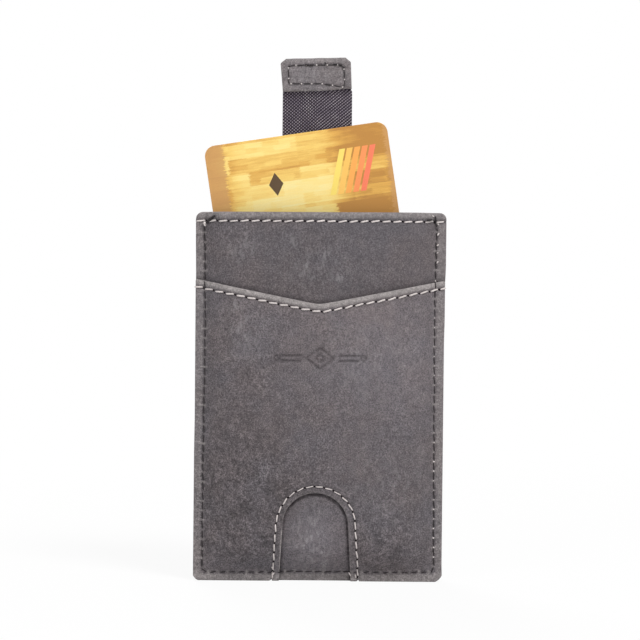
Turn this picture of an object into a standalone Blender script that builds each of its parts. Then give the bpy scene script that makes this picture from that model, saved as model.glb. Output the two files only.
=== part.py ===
"""A leather card case: a lined, shielded main pocket, an outer slip pocket and a webbing pull strap.

It stands on its bottom edge with its front towards -Y. The main pocket's seam plane is the plane that
the layers are stacked from, and every layer swells away from it by the same dome.
"""

import math

import bmesh
import bpy
from mathutils import Vector

MM = 0.001

# The case
CASE_WIDTH = 73.0 * MM
CASE_HEIGHT = 108.0 * MM
CORNER_RADIUS = 1.8 * MM
PANEL_INSET = 0.1 * MM
SEAM_INSET = 2.75 * MM
MOUTH_STITCH_DROP = 2.6 * MM

# The layers, from the seam plane outwards
SEAM_GAP = 0.5 * MM
LINING_THICKNESS = 0.3 * MM
FOIL_THICKNESS = 0.1 * MM
LAYER_GAP = 0.12 * MM
LEATHER_THICKNESS = 1.2 * MM
LINING_INSET = 0.6 * MM
FOIL_INSET = 3.5 * MM
SLIP_GAP_AT_SEAM = 0.15 * MM
SLIP_GAP = 0.6 * MM

# The swell of the filled case
FRONT_SWELL = 4.3 * MM
BACK_SWELL = 3.0 * MM
SWELL_RUN = 11.0 * MM
SWELL_POWER = 2.2

# The slip pocket's V edge and its thumb notch
POCKET_SIDE_HEIGHT = 88.5 * MM
POCKET_VALLEY_HEIGHT = 81.2 * MM
VALLEY_ROUNDING = 2.0 * MM
EDGE_STITCH_INSET = 2.2 * MM
NOTCH_CENTRE_X = -0.55 * MM
NOTCH_WIDTH = 19.0 * MM
NOTCH_HEIGHT = 26.2 * MM
NOTCH_FLARE = 1.0 * MM
NOTCH_STITCH_OFFSET = 2.05 * MM

# Thread
THREAD_RADIUS = 0.24 * MM
THREAD_CLEARANCE = 0.06 * MM
THREAD_CROWN = 0.12 * MM
LIGHT_PITCH = 3.2 * MM
DARK_PITCH = 2.9 * MM
STEP_CLEARANCE = 0.45 * MM

# The card
CARD_LENGTH = 85.6 * MM
CARD_WIDTH = 53.98 * MM
CARD_THICKNESS = 0.76 * MM
CARD_RADIUS = 3.18 * MM
CARD_LEAN = math.radians(8.8)
CARD_X = -1.12 * MM
CARD_Z = 88.5 * MM
CARD_BEHIND_SEAM = 0.02 * MM
CHIP_WIDTH = 11.8 * MM
CHIP_HEIGHT = 13.0 * MM
CHIP_THICKNESS = 0.2 * MM
CHIP_ACROSS = -3.1 * MM
CHIP_ALONG = -27.7 * MM
CHIP_CLEARANCE = 0.1 * MM

# The strap
WEBBING_WIDTH = 20.4 * MM
WEBBING_THICKNESS = 0.9 * MM
STRAP_X = -1.1 * MM
STRAP_CLEARANCE = 0.3 * MM
FOLD_HEIGHT = 24.0 * MM
ANCHOR_LOW = 64.0 * MM
ANCHOR_HIGH = 74.0 * MM
ANCHOR_GAP = 0.16 * MM
ANCHOR_STITCH_INSET = 2.0 * MM
FRONT_RUN_STRAIGHT_SHARE = 1 / 6
REAR_RUN_STRAIGHT_TO = 84.0 * MM

# The leather tab on the strap
TAB_WIDTH = 20.8 * MM
TAB_HEIGHT = 9.5 * MM
TAB_BOTTOM = 143.8 * MM
TAB_SHIFT = -0.35 * MM
TAB_LEATHER = 1.0 * MM
TAB_SLOT_GAP = 0.15 * MM
TAB_CORNER = 2.2 * MM
TAB_FOOT_CORNER = 0.9 * MM
TAB_LEAN = math.radians(1.8)
TAB_STITCH_INSET = 1.9 * MM
TAB_PITCH = 3.05 * MM

# Facets of an arc, and the shares of the dome's run, of a corner and of a sheet's height at which
# a sheet gets its rows and columns. Lines closer together than the least spacing are merged.
ARC_STEPS = 10
SWELL_STEPS = (0.1, 0.25, 0.45, 0.7, 1.0)
CORNER_STEPS = (0.1, 0.4, 1.0)
HEIGHT_STEPS = (0.35, 0.6, 0.8)
LEAST_SPACING = 0.08 * MM

# The share of a sheet's height that the shape of its upper edge leaves straight
STRAIGHT_SHARE = 0.6

# How near the perimeter seam's own places may come to those at a step, and a hair past an edge
PLACE_SPACING = 0.3 * MM
HAIR = 0.01 * MM

# Heights over the seam plane, worked out from the stack
LINING_INNER = SEAM_GAP / 2
FOIL_INNER = LINING_INNER + LINING_THICKNESS + LAYER_GAP
LEATHER_INNER = FOIL_INNER + FOIL_THICKNESS + LAYER_GAP
LEATHER_OUTER = LEATHER_INNER + LEATHER_THICKNESS
THREAD_SEAT = THREAD_RADIUS + THREAD_CLEARANCE
THREAD_TOP = THREAD_SEAT + THREAD_CROWN + THREAD_RADIUS
FRONT_DEPTH = LEATHER_OUTER + SLIP_GAP + LEATHER_THICKNESS + FRONT_SWELL + THREAD_TOP
BACK_DEPTH = LEATHER_OUTER + BACK_SWELL + THREAD_TOP

# The seam plane lies where it puts the whole case's depth astride Y = 0
SEAM_PLANE_Y = (FRONT_DEPTH - BACK_DEPTH) / 2
HALF_WIDTH = CASE_WIDTH / 2
PANEL_HALF_WIDTH = HALF_WIDTH - PANEL_INSET
SEAM_X = HALF_WIDTH - SEAM_INSET
MOUTH_STITCH_Z = CASE_HEIGHT - MOUTH_STITCH_DROP
FRONT, BACK = -1, 1

# The card stands nearly on the seam plane, and the tab and its thread clear the card's back face
CARD_Y = SEAM_PLANE_Y + CARD_BEHIND_SEAM
TAB_HALF_DEPTH = TAB_LEATHER + TAB_SLOT_GAP + WEBBING_THICKNESS / 2
TAB_BEHIND_CARD = CARD_THICKNESS / 2 + STRAP_CLEARANCE + THREAD_TOP + TAB_HALF_DEPTH


def clear_scene():
    for thing in list(bpy.data.objects):
        bpy.data.objects.remove(thing, do_unlink=True)


def new_collection(name):
    collection = bpy.data.collections.new(name)
    bpy.context.scene.collection.children.link(collection)
    return collection


def material(name, colour, roughness, metallic=0.0):
    made = bpy.data.materials.new(name)
    made.use_nodes = True
    shader = made.node_tree.nodes["Principled BSDF"]
    shader.inputs["Base Color"].default_value = (*colour, 1.0)
    shader.inputs["Roughness"].default_value = roughness
    shader.inputs["Metallic"].default_value = metallic
    made.diffuse_color = (*colour, 1.0)
    return made


def add_object(name, data, surface_material, parent=None):
    made = bpy.data.objects.new(name, data)
    data.materials.append(surface_material)
    PARTS.objects.link(made)
    made.parent = parent
    return made


def add_empty(name, place):
    made = bpy.data.objects.new(name, None)
    made.location = place
    made.empty_display_size = 5.0 * MM
    PARTS.objects.link(made)
    return made


def extrude(bm, faces, move):
    """Give the faces a thickness: extrude them and move the copy."""
    grown = bmesh.ops.extrude_face_region(bm, geom=faces)["geom"]
    moved = [item for item in grown if isinstance(item, bmesh.types.BMVert)]
    bmesh.ops.translate(bm, verts=moved, vec=move)


def finished_mesh(name, bm):
    bmesh.ops.recalc_face_normals(bm, faces=bm.faces)
    mesh = bpy.data.meshes.new(name)
    bm.to_mesh(mesh)
    bm.free()
    return mesh


def cut(target, cutter_mesh, name, operation="DIFFERENCE"):
    """Cut the target with a closed mesh that stands in the target's own frame."""
    cutter = bpy.data.objects.new(name, cutter_mesh)
    CUTTERS.objects.link(cutter)
    cutter.parent = target
    cutter.hide_render = True
    cutter.display_type = "WIRE"
    modifier = target.modifiers.new(name, "BOOLEAN")
    modifier.operation = operation
    modifier.solver = "EXACT"
    modifier.object = cutter


def prism(name, outline, low_y, high_y):
    """A closed prism over an outline of (x, z) points, from low_y to high_y."""
    bm = bmesh.new()
    face = bm.faces.new([bm.verts.new((x, low_y, z)) for x, z in outline])
    extrude(bm, [face], (0, high_y - low_y, 0))
    return finished_mesh(name, bm)


def arc(centre_x, centre_z, radius, start, end, steps=ARC_STEPS):
    """Points (x, z) along an arc, with its angles in degrees from +X towards +Z."""
    angles = [math.radians(start + (end - start) * k / steps) for k in range(steps + 1)]
    return [(centre_x + radius * math.cos(a), centre_z + radius * math.sin(a)) for a in angles]


def rounded_outline(width, low, high, radii):
    """A rectangle round X = 0 whose corners have radii (bottom left, bottom right, top right, top left)."""
    half = width / 2
    corners = (
        (-half, low, 1, 1, 180, 270),
        (half, low, -1, 1, 270, 360),
        (half, high, -1, -1, 0, 90),
        (-half, high, 1, -1, 90, 180),
    )
    outline = []
    for (x, z, inward_x, inward_z, start, end), radius in zip(corners, radii):
        outline += arc(x + inward_x * radius, z + inward_z * radius, radius, start, end)
    return outline


def rise(share):
    """The dome's profile: 0 at the seam and 1 from the end of its run, steepest at the seam."""
    return 1 - (1 - min(max(share, 0.0), 1.0)) ** SWELL_POWER


def dome(x, z):
    """How far the case has swelled at a place, as a share of its full swell."""
    return rise((SEAM_X - abs(x)) / SWELL_RUN) * rise((z - SEAM_INSET) / SWELL_RUN)


def layer_y(side, height, x, z):
    """Y of a layer that lies at a height over the seam plane, in the case's own frame."""
    swell = FRONT_SWELL if side == FRONT else BACK_SWELL
    return side * (height + swell * dome(x, z))


def slip_gap(x, z):
    return SLIP_GAP_AT_SEAM + (SLIP_GAP - SLIP_GAP_AT_SEAM) * dome(x, z)


def pocket_inner(x, z):
    return layer_y(FRONT, LEATHER_OUTER + slip_gap(x, z), x, z)


def v_edge(x):
    """The height of the slip pocket's edge: two slopes that meet in a rounded valley."""
    slope = (POCKET_SIDE_HEIGHT - POCKET_VALLEY_HEIGHT) / HALF_WIDTH
    return POCKET_VALLEY_HEIGHT + slope * (math.hypot(x, VALLEY_ROUNDING) - VALLEY_ROUNDING)


def distinct(values):
    """The values in order, without those nearly equal to the one before."""
    kept = []
    for value in sorted(values):
        if not kept or value - kept[-1] > LEAST_SPACING:
            kept.append(value)
    return kept


def columns(half_width):
    """X of a sheet's columns: close together where the dome rises."""
    half = [0.0, (SEAM_X - SWELL_RUN) / 2, SEAM_X]
    half += [SEAM_X - SWELL_RUN * step for step in SWELL_STEPS]
    half = distinct([x for x in half if x < half_width - LEAST_SPACING] + [half_width])
    return [-x for x in reversed(half[1:])] + half


def rows(low, high, corner):
    """Z of a sheet's rows: close together in the corners and where the dome rises."""
    inner = [low + corner * step for step in CORNER_STEPS]
    inner += [high - corner * step for step in CORNER_STEPS]
    inner += [SEAM_INSET] + [SEAM_INSET + SWELL_RUN * step for step in SWELL_STEPS]
    inner += [low + (high - low) * step for step in HEIGHT_STEPS]
    inner = [z for z in inner if low + LEAST_SPACING < z < high - LEAST_SPACING]
    return distinct([low] + inner + [high])


def corner_width(z, low, high, half_width, corner):
    """Half the width of a sheet with rounded corners at a height."""
    from_end = min(z - low, high - z)
    if from_end >= corner:
        return half_width
    return half_width - corner + math.sqrt(max(corner**2 - (corner - from_end) ** 2, 0.0))


def sheet(name, side, inner_y, thickness, half_width, low, high, corner, surface_material, top=None):
    """A sheet laid over inner_y(x, z) and given its thickness outwards; top(x) bends its upper edge."""
    bm = bmesh.new()
    xs = columns(half_width)
    zs = rows(low, high, corner)
    straight_to = low + (high - low) * STRAIGHT_SHARE
    grid = []
    kept = min(SEAM_X, half_width - corner)
    for z in zs:
        share = (corner_width(z, low, high, half_width, corner) - kept) / (half_width - kept)
        line = []
        for x in xs:
            beyond = max(abs(x) - kept, 0.0)
            at_x = x - math.copysign(beyond * (1 - share), x)
            at_z = z
            if top and z > straight_to:
                at_z = straight_to + (z - straight_to) * (top(x) - straight_to) / (high - straight_to)
            line.append(bm.verts.new((at_x, inner_y(at_x, at_z), at_z)))
        grid.append(line)
    for lower, upper in zip(grid, grid[1:]):
        for i in range(len(xs) - 1):
            bm.faces.new((lower[i], lower[i + 1], upper[i + 1], upper[i]))
    bmesh.ops.triangulate(bm, faces=bm.faces, quad_method="FIXED")
    extrude(bm, bm.faces[:], (0, side * thickness, 0))
    return add_object(name, finished_mesh(name, bm), surface_material, CASE)


def thread(name, points, surface_material, parent, cyclic=False):
    """One unbroken thread along points in the parent's frame."""
    curve = bpy.data.curves.new(name, "CURVE")
    curve.dimensions = "3D"
    curve.bevel_depth = THREAD_RADIUS
    curve.bevel_resolution = 0
    curve.use_fill_caps = True
    spline = curve.splines.new("POLY")
    spline.points.add(len(points) - 1)
    for point, place in zip(spline.points, points):
        point.co = (*place, 1.0)
        point.radius = 1.0
    spline.use_cyclic_u = cyclic
    return add_object(name, curve, surface_material, parent)


def walk(corners, pitch, cyclic=False):
    """Places (x, z, is_crown) along a route: each stitch dips at its holes and crowns halfway."""
    ends = corners + corners[:1] if cyclic else corners
    places = []
    for (x0, z0), (x1, z1) in zip(ends, ends[1:]):
        stitches = max(1, round(math.hypot(x1 - x0, z1 - z0) / pitch))
        for k in range(2 * stitches):
            share = k / (2 * stitches)
            places.append((x0 + (x1 - x0) * share, z0 + (z1 - z0) * share, k % 2 == 1))
    if not cyclic:
        places.append((*ends[-1], False))
    return places


def covered(x, z, margin):
    """Whether the slip pocket lies over a place, or within a margin of it."""
    past_edge = z > v_edge(x) + margin
    notch_half = NOTCH_WIDTH / 2 + NOTCH_FLARE - margin
    in_notch = abs(x - NOTCH_CENTRE_X) < notch_half and z < NOTCH_HEIGHT / 2
    return not past_edge and not in_notch


def front_face_y(x, z, margin):
    """Y of the outermost leather of the front at a place."""
    if covered(x, z, margin):
        return pocket_inner(x, z) - LEATHER_THICKNESS
    return layer_y(FRONT, LEATHER_OUTER, x, z)


def stitched_points(places, face_y, side, lift=0.0):
    """Points of a thread that lies on face_y(x, z), outwards of it."""
    points = []
    for x, z, is_crown in places:
        height = THREAD_SEAT + lift + (THREAD_CROWN if is_crown else 0.0)
        points.append((x, face_y(x, z) + side * height, z))
    return points


def front_layers():
    sheet("front_lining", FRONT, lambda x, z: layer_y(FRONT, LINING_INNER, x, z), LINING_THICKNESS,
          PANEL_HALF_WIDTH - LINING_INSET, LINING_INSET, CASE_HEIGHT - LINING_INSET, CORNER_RADIUS,
          LINING_CLOTH)
    sheet("front_shield_foil", FRONT, lambda x, z: layer_y(FRONT, FOIL_INNER, x, z), FOIL_THICKNESS,
          HALF_WIDTH - FOIL_INSET, FOIL_INSET, CASE_HEIGHT - FOIL_INSET, CORNER_RADIUS, SHIELD_FOIL)
    sheet("front_panel", FRONT, lambda x, z: layer_y(FRONT, LEATHER_INNER, x, z), LEATHER_THICKNESS,
          PANEL_HALF_WIDTH, 0.0, CASE_HEIGHT, CORNER_RADIUS, LEATHER)


def back_layers():
    sheet("back_lining", BACK, lambda x, z: layer_y(BACK, LINING_INNER, x, z), LINING_THICKNESS,
          PANEL_HALF_WIDTH - LINING_INSET, LINING_INSET, CASE_HEIGHT - LINING_INSET, CORNER_RADIUS,
          LINING_CLOTH)
    sheet("back_shield_foil", BACK, lambda x, z: layer_y(BACK, FOIL_INNER, x, z), FOIL_THICKNESS,
          HALF_WIDTH - FOIL_INSET, FOIL_INSET, CASE_HEIGHT - FOIL_INSET, CORNER_RADIUS, SHIELD_FOIL)
    sheet("back_panel", BACK, lambda x, z: layer_y(BACK, LEATHER_INNER, x, z), LEATHER_THICKNESS,
          PANEL_HALF_WIDTH, 0.0, CASE_HEIGHT, CORNER_RADIUS, LEATHER)


def notch_outline(growth=0.0, low=0.0):
    """The thumb notch: a round arch on legs that flare towards the bottom edge."""
    radius = NOTCH_WIDTH / 2 + growth
    spring = NOTCH_HEIGHT - NOTCH_WIDTH / 2
    foot = radius + NOTCH_FLARE
    legs = [(NOTCH_CENTRE_X + foot, low)]
    return legs + arc(NOTCH_CENTRE_X, spring, radius, 0, 180) + [(NOTCH_CENTRE_X - foot, low)]


def pocket_panel():
    panel = sheet("pocket_panel", FRONT, pocket_inner, LEATHER_THICKNESS, HALF_WIDTH, 0.0,
                  POCKET_SIDE_HEIGHT, CORNER_RADIUS, LEATHER, top=v_edge)
    outline = notch_outline(low=-CORNER_RADIUS)
    cut(panel, prism("notch_cutter", outline, -2 * FRONT_DEPTH, 0.0), "notch_cutter")


def mouth_stitching():
    reach = PANEL_HALF_WIDTH - THREAD_TOP
    route = walk([(-reach, MOUTH_STITCH_Z), (reach, MOUTH_STITCH_Z)], LIGHT_PITCH)
    for name, side in (("mouth_stitching_front", FRONT), ("mouth_stitching_back", BACK)):
        points = stitched_points(route, lambda x, z: layer_y(side, LEATHER_OUTER, x, z), side)
        thread(name, points, LIGHT_THREAD, CASE)


def pocket_edge_stitching():
    reach = SEAM_X - 2 * THREAD_TOP
    half = [0.0, VALLEY_ROUNDING, reach / 2, reach]
    xs = [-x for x in reversed(half[1:])] + half
    route = walk([(x, v_edge(x) - EDGE_STITCH_INSET) for x in xs], LIGHT_PITCH)
    points = stitched_points(route, lambda x, z: pocket_inner(x, z) - LEATHER_THICKNESS, FRONT)
    thread("pocket_edge_stitching", points, LIGHT_THREAD, CASE)


def notch_stitching():
    outline = notch_outline(growth=NOTCH_STITCH_OFFSET, low=SEAM_INSET + 2 * THREAD_TOP)
    route = walk(outline, LIGHT_PITCH)
    points = stitched_points(route, lambda x, z: pocket_inner(x, z) - LEATHER_THICKNESS, FRONT)
    thread("notch_stitching", points, LIGHT_THREAD, CASE)


def perimeter_route(steps_down):
    """Down the left side, along the bottom and up the right side, with extra places at each step."""
    top = MOUTH_STITCH_Z - 2 * THREAD_TOP
    route = walk([(-SEAM_X, top), (-SEAM_X, SEAM_INSET), (SEAM_X, SEAM_INSET), (SEAM_X, top)], DARK_PITCH)
    if not steps_down:
        return route
    drop = STEP_CLEARANCE / 2
    ledge = v_edge(SEAM_X) + STEP_CLEARANCE
    foot = NOTCH_WIDTH / 2 + NOTCH_FLARE - STEP_CLEARANCE
    left = [(-SEAM_X, ledge + drop, False), (-SEAM_X, ledge - HAIR, False)]
    right = [(SEAM_X, z, is_crown) for _, z, is_crown in reversed(left)]
    near = [(NOTCH_CENTRE_X - foot - HAIR, SEAM_INSET, False),
            (NOTCH_CENTRE_X - foot + drop, SEAM_INSET, False)]
    far = [(2 * NOTCH_CENTRE_X - x, z, is_crown) for x, z, is_crown in reversed(near)]
    steps = left + near + far + right
    kept = [p for p in route if all(math.dist(p[:2], s[:2]) > PLACE_SPACING for s in steps)]
    down = [p for p in kept + left if p[0] <= -SEAM_X and p[1] > SEAM_INSET]
    along = [p for p in kept + near + far if p[1] <= SEAM_INSET]
    up = [p for p in kept + right if p[0] >= SEAM_X and p[1] > SEAM_INSET]
    return sorted(down, key=lambda p: -p[1]) + sorted(along) + sorted(up, key=lambda p: p[1])


def perimeter_stitching():
    """The seam through every layer: its front thread steps over the slip pocket's edges."""
    lift = THREAD_CLEARANCE * 2
    points = stitched_points(perimeter_route(True), lambda x, z: front_face_y(x, z, STEP_CLEARANCE),
                             FRONT, lift)
    thread("perimeter_stitching", points, DARK_THREAD, CASE)
    points = stitched_points(perimeter_route(False), lambda x, z: layer_y(BACK, LEATHER_OUTER, x, z),
                             BACK, lift)
    thread("perimeter_bobbin_thread", points, DARK_THREAD, CASE)


def ribbon(name, path, parent):
    """Webbing along a path of (y, z) points in the parent's frame, across the strap's width."""
    bm = bmesh.new()
    left = [bm.verts.new((-WEBBING_WIDTH / 2, y, z)) for y, z in path]
    right = [bm.verts.new((WEBBING_WIDTH / 2, y, z)) for y, z in path]
    for i in range(len(path) - 1):
        bm.faces.new((left[i], right[i], right[i + 1], left[i + 1]))
    made = add_object(name, finished_mesh(name, bm), WEBBING, parent)
    thicken = made.modifiers.new("thickness", "SOLIDIFY")
    thicken.thickness = WEBBING_THICKNESS
    thicken.offset = 0.0
    thicken.use_even_offset = True


def eased(start, end, steps=8):
    """An S-shaped run of (y, z) points between two places, straight up at both."""
    points = []
    for k in range(steps + 1):
        share = k / steps
        smooth = share * share * (3 - 2 * share)
        points.append((start[0] + (end[0] - start[0]) * smooth, start[1] + (end[1] - start[1]) * share))
    return points


def strap():
    """The strap runs from its anchor down before the card, under it and up behind it to the tab."""
    reach = CARD_THICKNESS / 2 + STRAP_CLEARANCE + WEBBING_THICKNESS / 2
    front_y = -reach
    rear_y = reach
    half_turn = arc(0.0, 0.0, reach, 180, 360)
    ribbon("strap_fold", half_turn, FOLD)

    joint_z = STRAP_CLEARANCE
    anchor_height = LINING_INNER + FRONT_SWELL - ANCHOR_GAP - WEBBING_THICKNESS / 2
    anchor_y = -anchor_height - CARD_BEHIND_SEAM
    low = ANCHOR_LOW - FOLD_HEIGHT
    straight_to = low * FRONT_RUN_STRAIGHT_SHARE
    path = [(front_y, joint_z)] + eased((front_y, straight_to), (anchor_y, low))
    path.append((anchor_y, ANCHOR_HIGH - FOLD_HEIGHT))
    ribbon("strap_front_run", path, FOLD)

    lean_drop = WEBBING_WIDTH / 2 * math.sin(TAB_LEAN)
    top = TAB_BOTTOM + TAB_HEIGHT - TAB_HALF_DEPTH - lean_drop - FOLD_HEIGHT
    straight_to = REAR_RUN_STRAIGHT_TO - FOLD_HEIGHT
    bend_to = TAB_BOTTOM - TAB_LEATHER - FOLD_HEIGHT
    path = [(rear_y, joint_z)] + eased((rear_y, straight_to), (TAB_BEHIND_CARD, bend_to))
    path.append((TAB_BEHIND_CARD, top))
    ribbon("strap_rear_run", path, FOLD)
    anchor_stitching(anchor_y + WEBBING_THICKNESS / 2 + THREAD_SEAT)


def anchor_stitching(thread_y):
    half = WEBBING_WIDTH / 2 - ANCHOR_STITCH_INSET
    low = ANCHOR_LOW + ANCHOR_STITCH_INSET - FOLD_HEIGHT
    high = ANCHOR_HIGH - ANCHOR_STITCH_INSET - FOLD_HEIGHT
    route = walk([(-half, low), (half, low), (half, high), (-half, high)], LIGHT_PITCH, cyclic=True)
    points = [(x, thread_y + (THREAD_CROWN if is_crown else 0.0), z) for x, z, is_crown in route]
    thread("strap_anchor_stitching", points, DARK_THREAD, FOLD, cyclic=True)


def tab_cap():
    """Leather folded over the webbing's end: a U in profile, cut to a rounded outline."""
    outer = TAB_HALF_DEPTH
    inner = outer - TAB_LEATHER
    crown = TAB_HEIGHT - outer
    profile = [(outer, 0.0)] + arc(0.0, crown, outer, 0, 180) + [(-outer, 0.0), (-inner, 0.0)]
    profile += arc(0.0, crown, inner, 180, 0) + [(inner, 0.0)]
    bm = bmesh.new()
    face = bm.faces.new([bm.verts.new((-TAB_WIDTH, y, z)) for y, z in profile])
    extrude(bm, [face], (2 * TAB_WIDTH, 0, 0))
    cap = add_object("tab_cap", finished_mesh("tab_cap", bm), LEATHER, TAB)
    cap.rotation_euler = (0, -TAB_LEAN, 0)
    radii = (TAB_FOOT_CORNER, TAB_FOOT_CORNER, TAB_CORNER, TAB_CORNER)
    outline = rounded_outline(TAB_WIDTH, 0.0, TAB_HEIGHT, radii)
    cut(cap, prism("tab_outline", outline, -2 * outer, 2 * outer), "tab_outline", "INTERSECT")

    half = TAB_WIDTH / 2 - TAB_STITCH_INSET
    high = TAB_HEIGHT - TAB_STITCH_INSET
    corners = [(-half, TAB_STITCH_INSET), (half, TAB_STITCH_INSET), (half, high), (-half, high)]
    route = walk(corners, TAB_PITCH, cyclic=True)
    points = stitched_points(route, lambda x, z: -outer, FRONT)
    stitches = thread("tab_stitching", points, DARK_THREAD, TAB, cyclic=True)
    stitches.rotation_euler = cap.rotation_euler


def payment_card():
    """The card leans, and its contact plate sits in a recess of its front face."""
    outline = rounded_outline(CARD_WIDTH, -CARD_LENGTH / 2, CARD_LENGTH / 2, (CARD_RADIUS,) * 4)
    body = prism("payment_card", outline, -CARD_THICKNESS / 2, CARD_THICKNESS / 2)
    card = add_object("payment_card", body, CARD_PLASTIC, CARD)
    half_w, half_h = CHIP_WIDTH / 2, CHIP_HEIGHT / 2
    plate = [(CHIP_ACROSS + x, CHIP_ALONG + z) for x, z in
             ((-half_w, -half_h), (half_w, -half_h), (half_w, half_h), (-half_w, half_h))]
    grown = [(x + math.copysign(CHIP_CLEARANCE, x - CHIP_ACROSS),
              z + math.copysign(CHIP_CLEARANCE, z - CHIP_ALONG)) for x, z in plate]
    face_y = -CARD_THICKNESS / 2
    floor_y = face_y + CHIP_THICKNESS + CHIP_CLEARANCE
    cut(card, prism("chip_recess", grown, face_y - CARD_THICKNESS, floor_y), "chip_recess")
    contacts = prism("card_chip", plate, face_y, face_y + CHIP_THICKNESS)
    chip = add_object("card_chip", contacts, CONTACT_PLATE, CARD)
    card.rotation_euler = chip.rotation_euler = (0, -CARD_LEAN, 0)


clear_scene()
PARTS = new_collection("card_case")
CUTTERS = new_collection("card_case_cutters")

LEATHER = material("grey_leather", (0.145, 0.135, 0.138), 0.72)
LINING_CLOTH = material("lining_cloth", (0.020, 0.019, 0.021), 0.9)
SHIELD_FOIL = material("shield_foil", (0.62, 0.63, 0.65), 0.35, 1.0)
LIGHT_THREAD = material("light_thread", (0.66, 0.62, 0.60), 0.7)
DARK_THREAD = material("dark_thread", (0.030, 0.024, 0.027), 0.7)
WEBBING = material("strap_webbing", (0.060, 0.050, 0.070), 0.85)
CARD_PLASTIC = material("gold_card", (0.80, 0.52, 0.16), 0.38)
CONTACT_PLATE = material("contact_plate", (0.83, 0.66, 0.33), 0.3, 1.0)

CASE = add_empty("case_frame", Vector((0, SEAM_PLANE_Y, 0)))
FOLD = add_empty("strap_fold_frame", Vector((STRAP_X, CARD_Y, FOLD_HEIGHT)))
TAB = add_empty("tab_frame", Vector((STRAP_X + TAB_SHIFT, CARD_Y + TAB_BEHIND_CARD, TAB_BOTTOM)))
CARD = add_empty("card_frame", Vector((CARD_X, CARD_Y, CARD_Z)))

front_layers()
back_layers()
pocket_panel()
mouth_stitching()
pocket_edge_stitching()
notch_stitching()
perimeter_stitching()
strap()
tab_cap()
payment_card()
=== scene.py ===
"""The looks of a leather card case with a webbing pull strap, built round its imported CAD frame.

Lengths are in millimetres until a mesh is made, and meshes are in metres. A panel is laid out flat, as a
triangulated (x, z) plan, and then lifted to the height that the stacked layers have over the seam plane.
"""

import math
import random

import bpy
import numpy as np
from mathutils import Matrix, Vector
from mathutils.geometry import delaunay_2d_cdt


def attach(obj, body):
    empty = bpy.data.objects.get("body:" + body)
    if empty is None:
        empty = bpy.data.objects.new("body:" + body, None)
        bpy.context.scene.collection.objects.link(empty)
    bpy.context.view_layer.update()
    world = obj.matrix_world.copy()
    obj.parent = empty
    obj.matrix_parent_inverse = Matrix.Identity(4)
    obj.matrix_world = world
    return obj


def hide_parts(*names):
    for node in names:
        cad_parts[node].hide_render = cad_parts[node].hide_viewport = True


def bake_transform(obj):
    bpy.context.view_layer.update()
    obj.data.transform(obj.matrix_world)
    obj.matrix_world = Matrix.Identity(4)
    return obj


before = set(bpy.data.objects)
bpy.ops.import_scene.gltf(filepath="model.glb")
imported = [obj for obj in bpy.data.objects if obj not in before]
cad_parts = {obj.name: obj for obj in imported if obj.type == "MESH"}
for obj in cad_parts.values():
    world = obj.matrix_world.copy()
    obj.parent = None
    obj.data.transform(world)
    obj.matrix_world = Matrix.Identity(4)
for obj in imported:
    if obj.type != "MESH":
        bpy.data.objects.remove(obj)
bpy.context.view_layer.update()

METRES = 0.001
FRONT, BACK = -1, 1
NEAR_ZERO = 1e-9

# The case: its layers and outline
SEAM_Y = 1.55
CASE_HEIGHT = 108.0
HALF_WIDTH = 36.5
SEAM_INSET = 2.75
SEAM_X = HALF_WIDTH - SEAM_INSET
LEATHER = 1.2
LEATHER_OUTER = 0.89 + LEATHER
LINING_INNER = 0.25
LINING_THICKNESS = 0.3
LINING_INSET = 0.75
LINING_CORNER = 1.8
SLIP_GAP_AT_SEAM = 0.15
SLIP_GAP = 0.6
SWELL = {FRONT: 4.3, BACK: 3.0}
SWELL_RUN = 11.0
SWELL_POWER = 2.2
CUT_LEFT = 1.45
CUT_RIGHT = 1.95
CUT_FLATNESS = 0.55
MOUTH_TILT = (-0.3, 0.03)
MOUTH_CORNER_LEFT = 2.1
MOUTH_CORNER_RIGHT = 2.0
POCKET_CORNER = 0.4
POCKET_SHIFT = -0.12
UPPER_SHIFT = 0.2
BACK_NARROWER = 0.1

# The slip pocket
POCKET_SIDE_HEIGHT = 88.5
POCKET_VALLEY_HEIGHT = 81.2
VALLEY_ROUNDING = 1.2
NOTCH_X = -0.55
NOTCH_RADIUS = 9.5
NOTCH_HEIGHT = 26.2
NOTCH_FLARE = 1.0
NOTCH_FOOT = NOTCH_RADIUS + NOTCH_FLARE
NOTCH_SPRING = NOTCH_HEIGHT - NOTCH_RADIUS
NOTCH_PRESS = 0.5
NOTCH_PRESS_REACH = (0.0, 3.2)
NOTCH_PRESS_RISE = (2.0, 9.0)
NOTCH_BULGE = 0.75
NOTCH_BULGE_REACH = (0.1, 1.5)
NOTCH_BULGE_RISE = (1.5, 8.0)
NICK_WIDTH = 0.8
NICK_HEIGHT = 0.7

# Rows of stitches
MOUTH_ROW_Z = CASE_HEIGHT - 2.6
V_ROW_DROP = 2.25
NOTCH_ROW_OFFSET = 2.05
NICK_LEFT = NOTCH_X - NOTCH_FOOT - NOTCH_ROW_OFFSET - 0.25
NICK_RIGHT = NOTCH_X + NOTCH_FOOT + NOTCH_ROW_OFFSET + 0.1
SEAM_CORNER = 1.1
SEAM_FOOT_LEFT = 2.5
SEAM_FOOT_RIGHT = 2.85
MOUTH_PITCH = 3.163
V_PITCH = 3.18
NOTCH_PITCH = 2.84
DARK_PITCH = 2.8
TAB_PITCH = 3.05
ANCHOR_PITCH = 3.1

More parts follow.
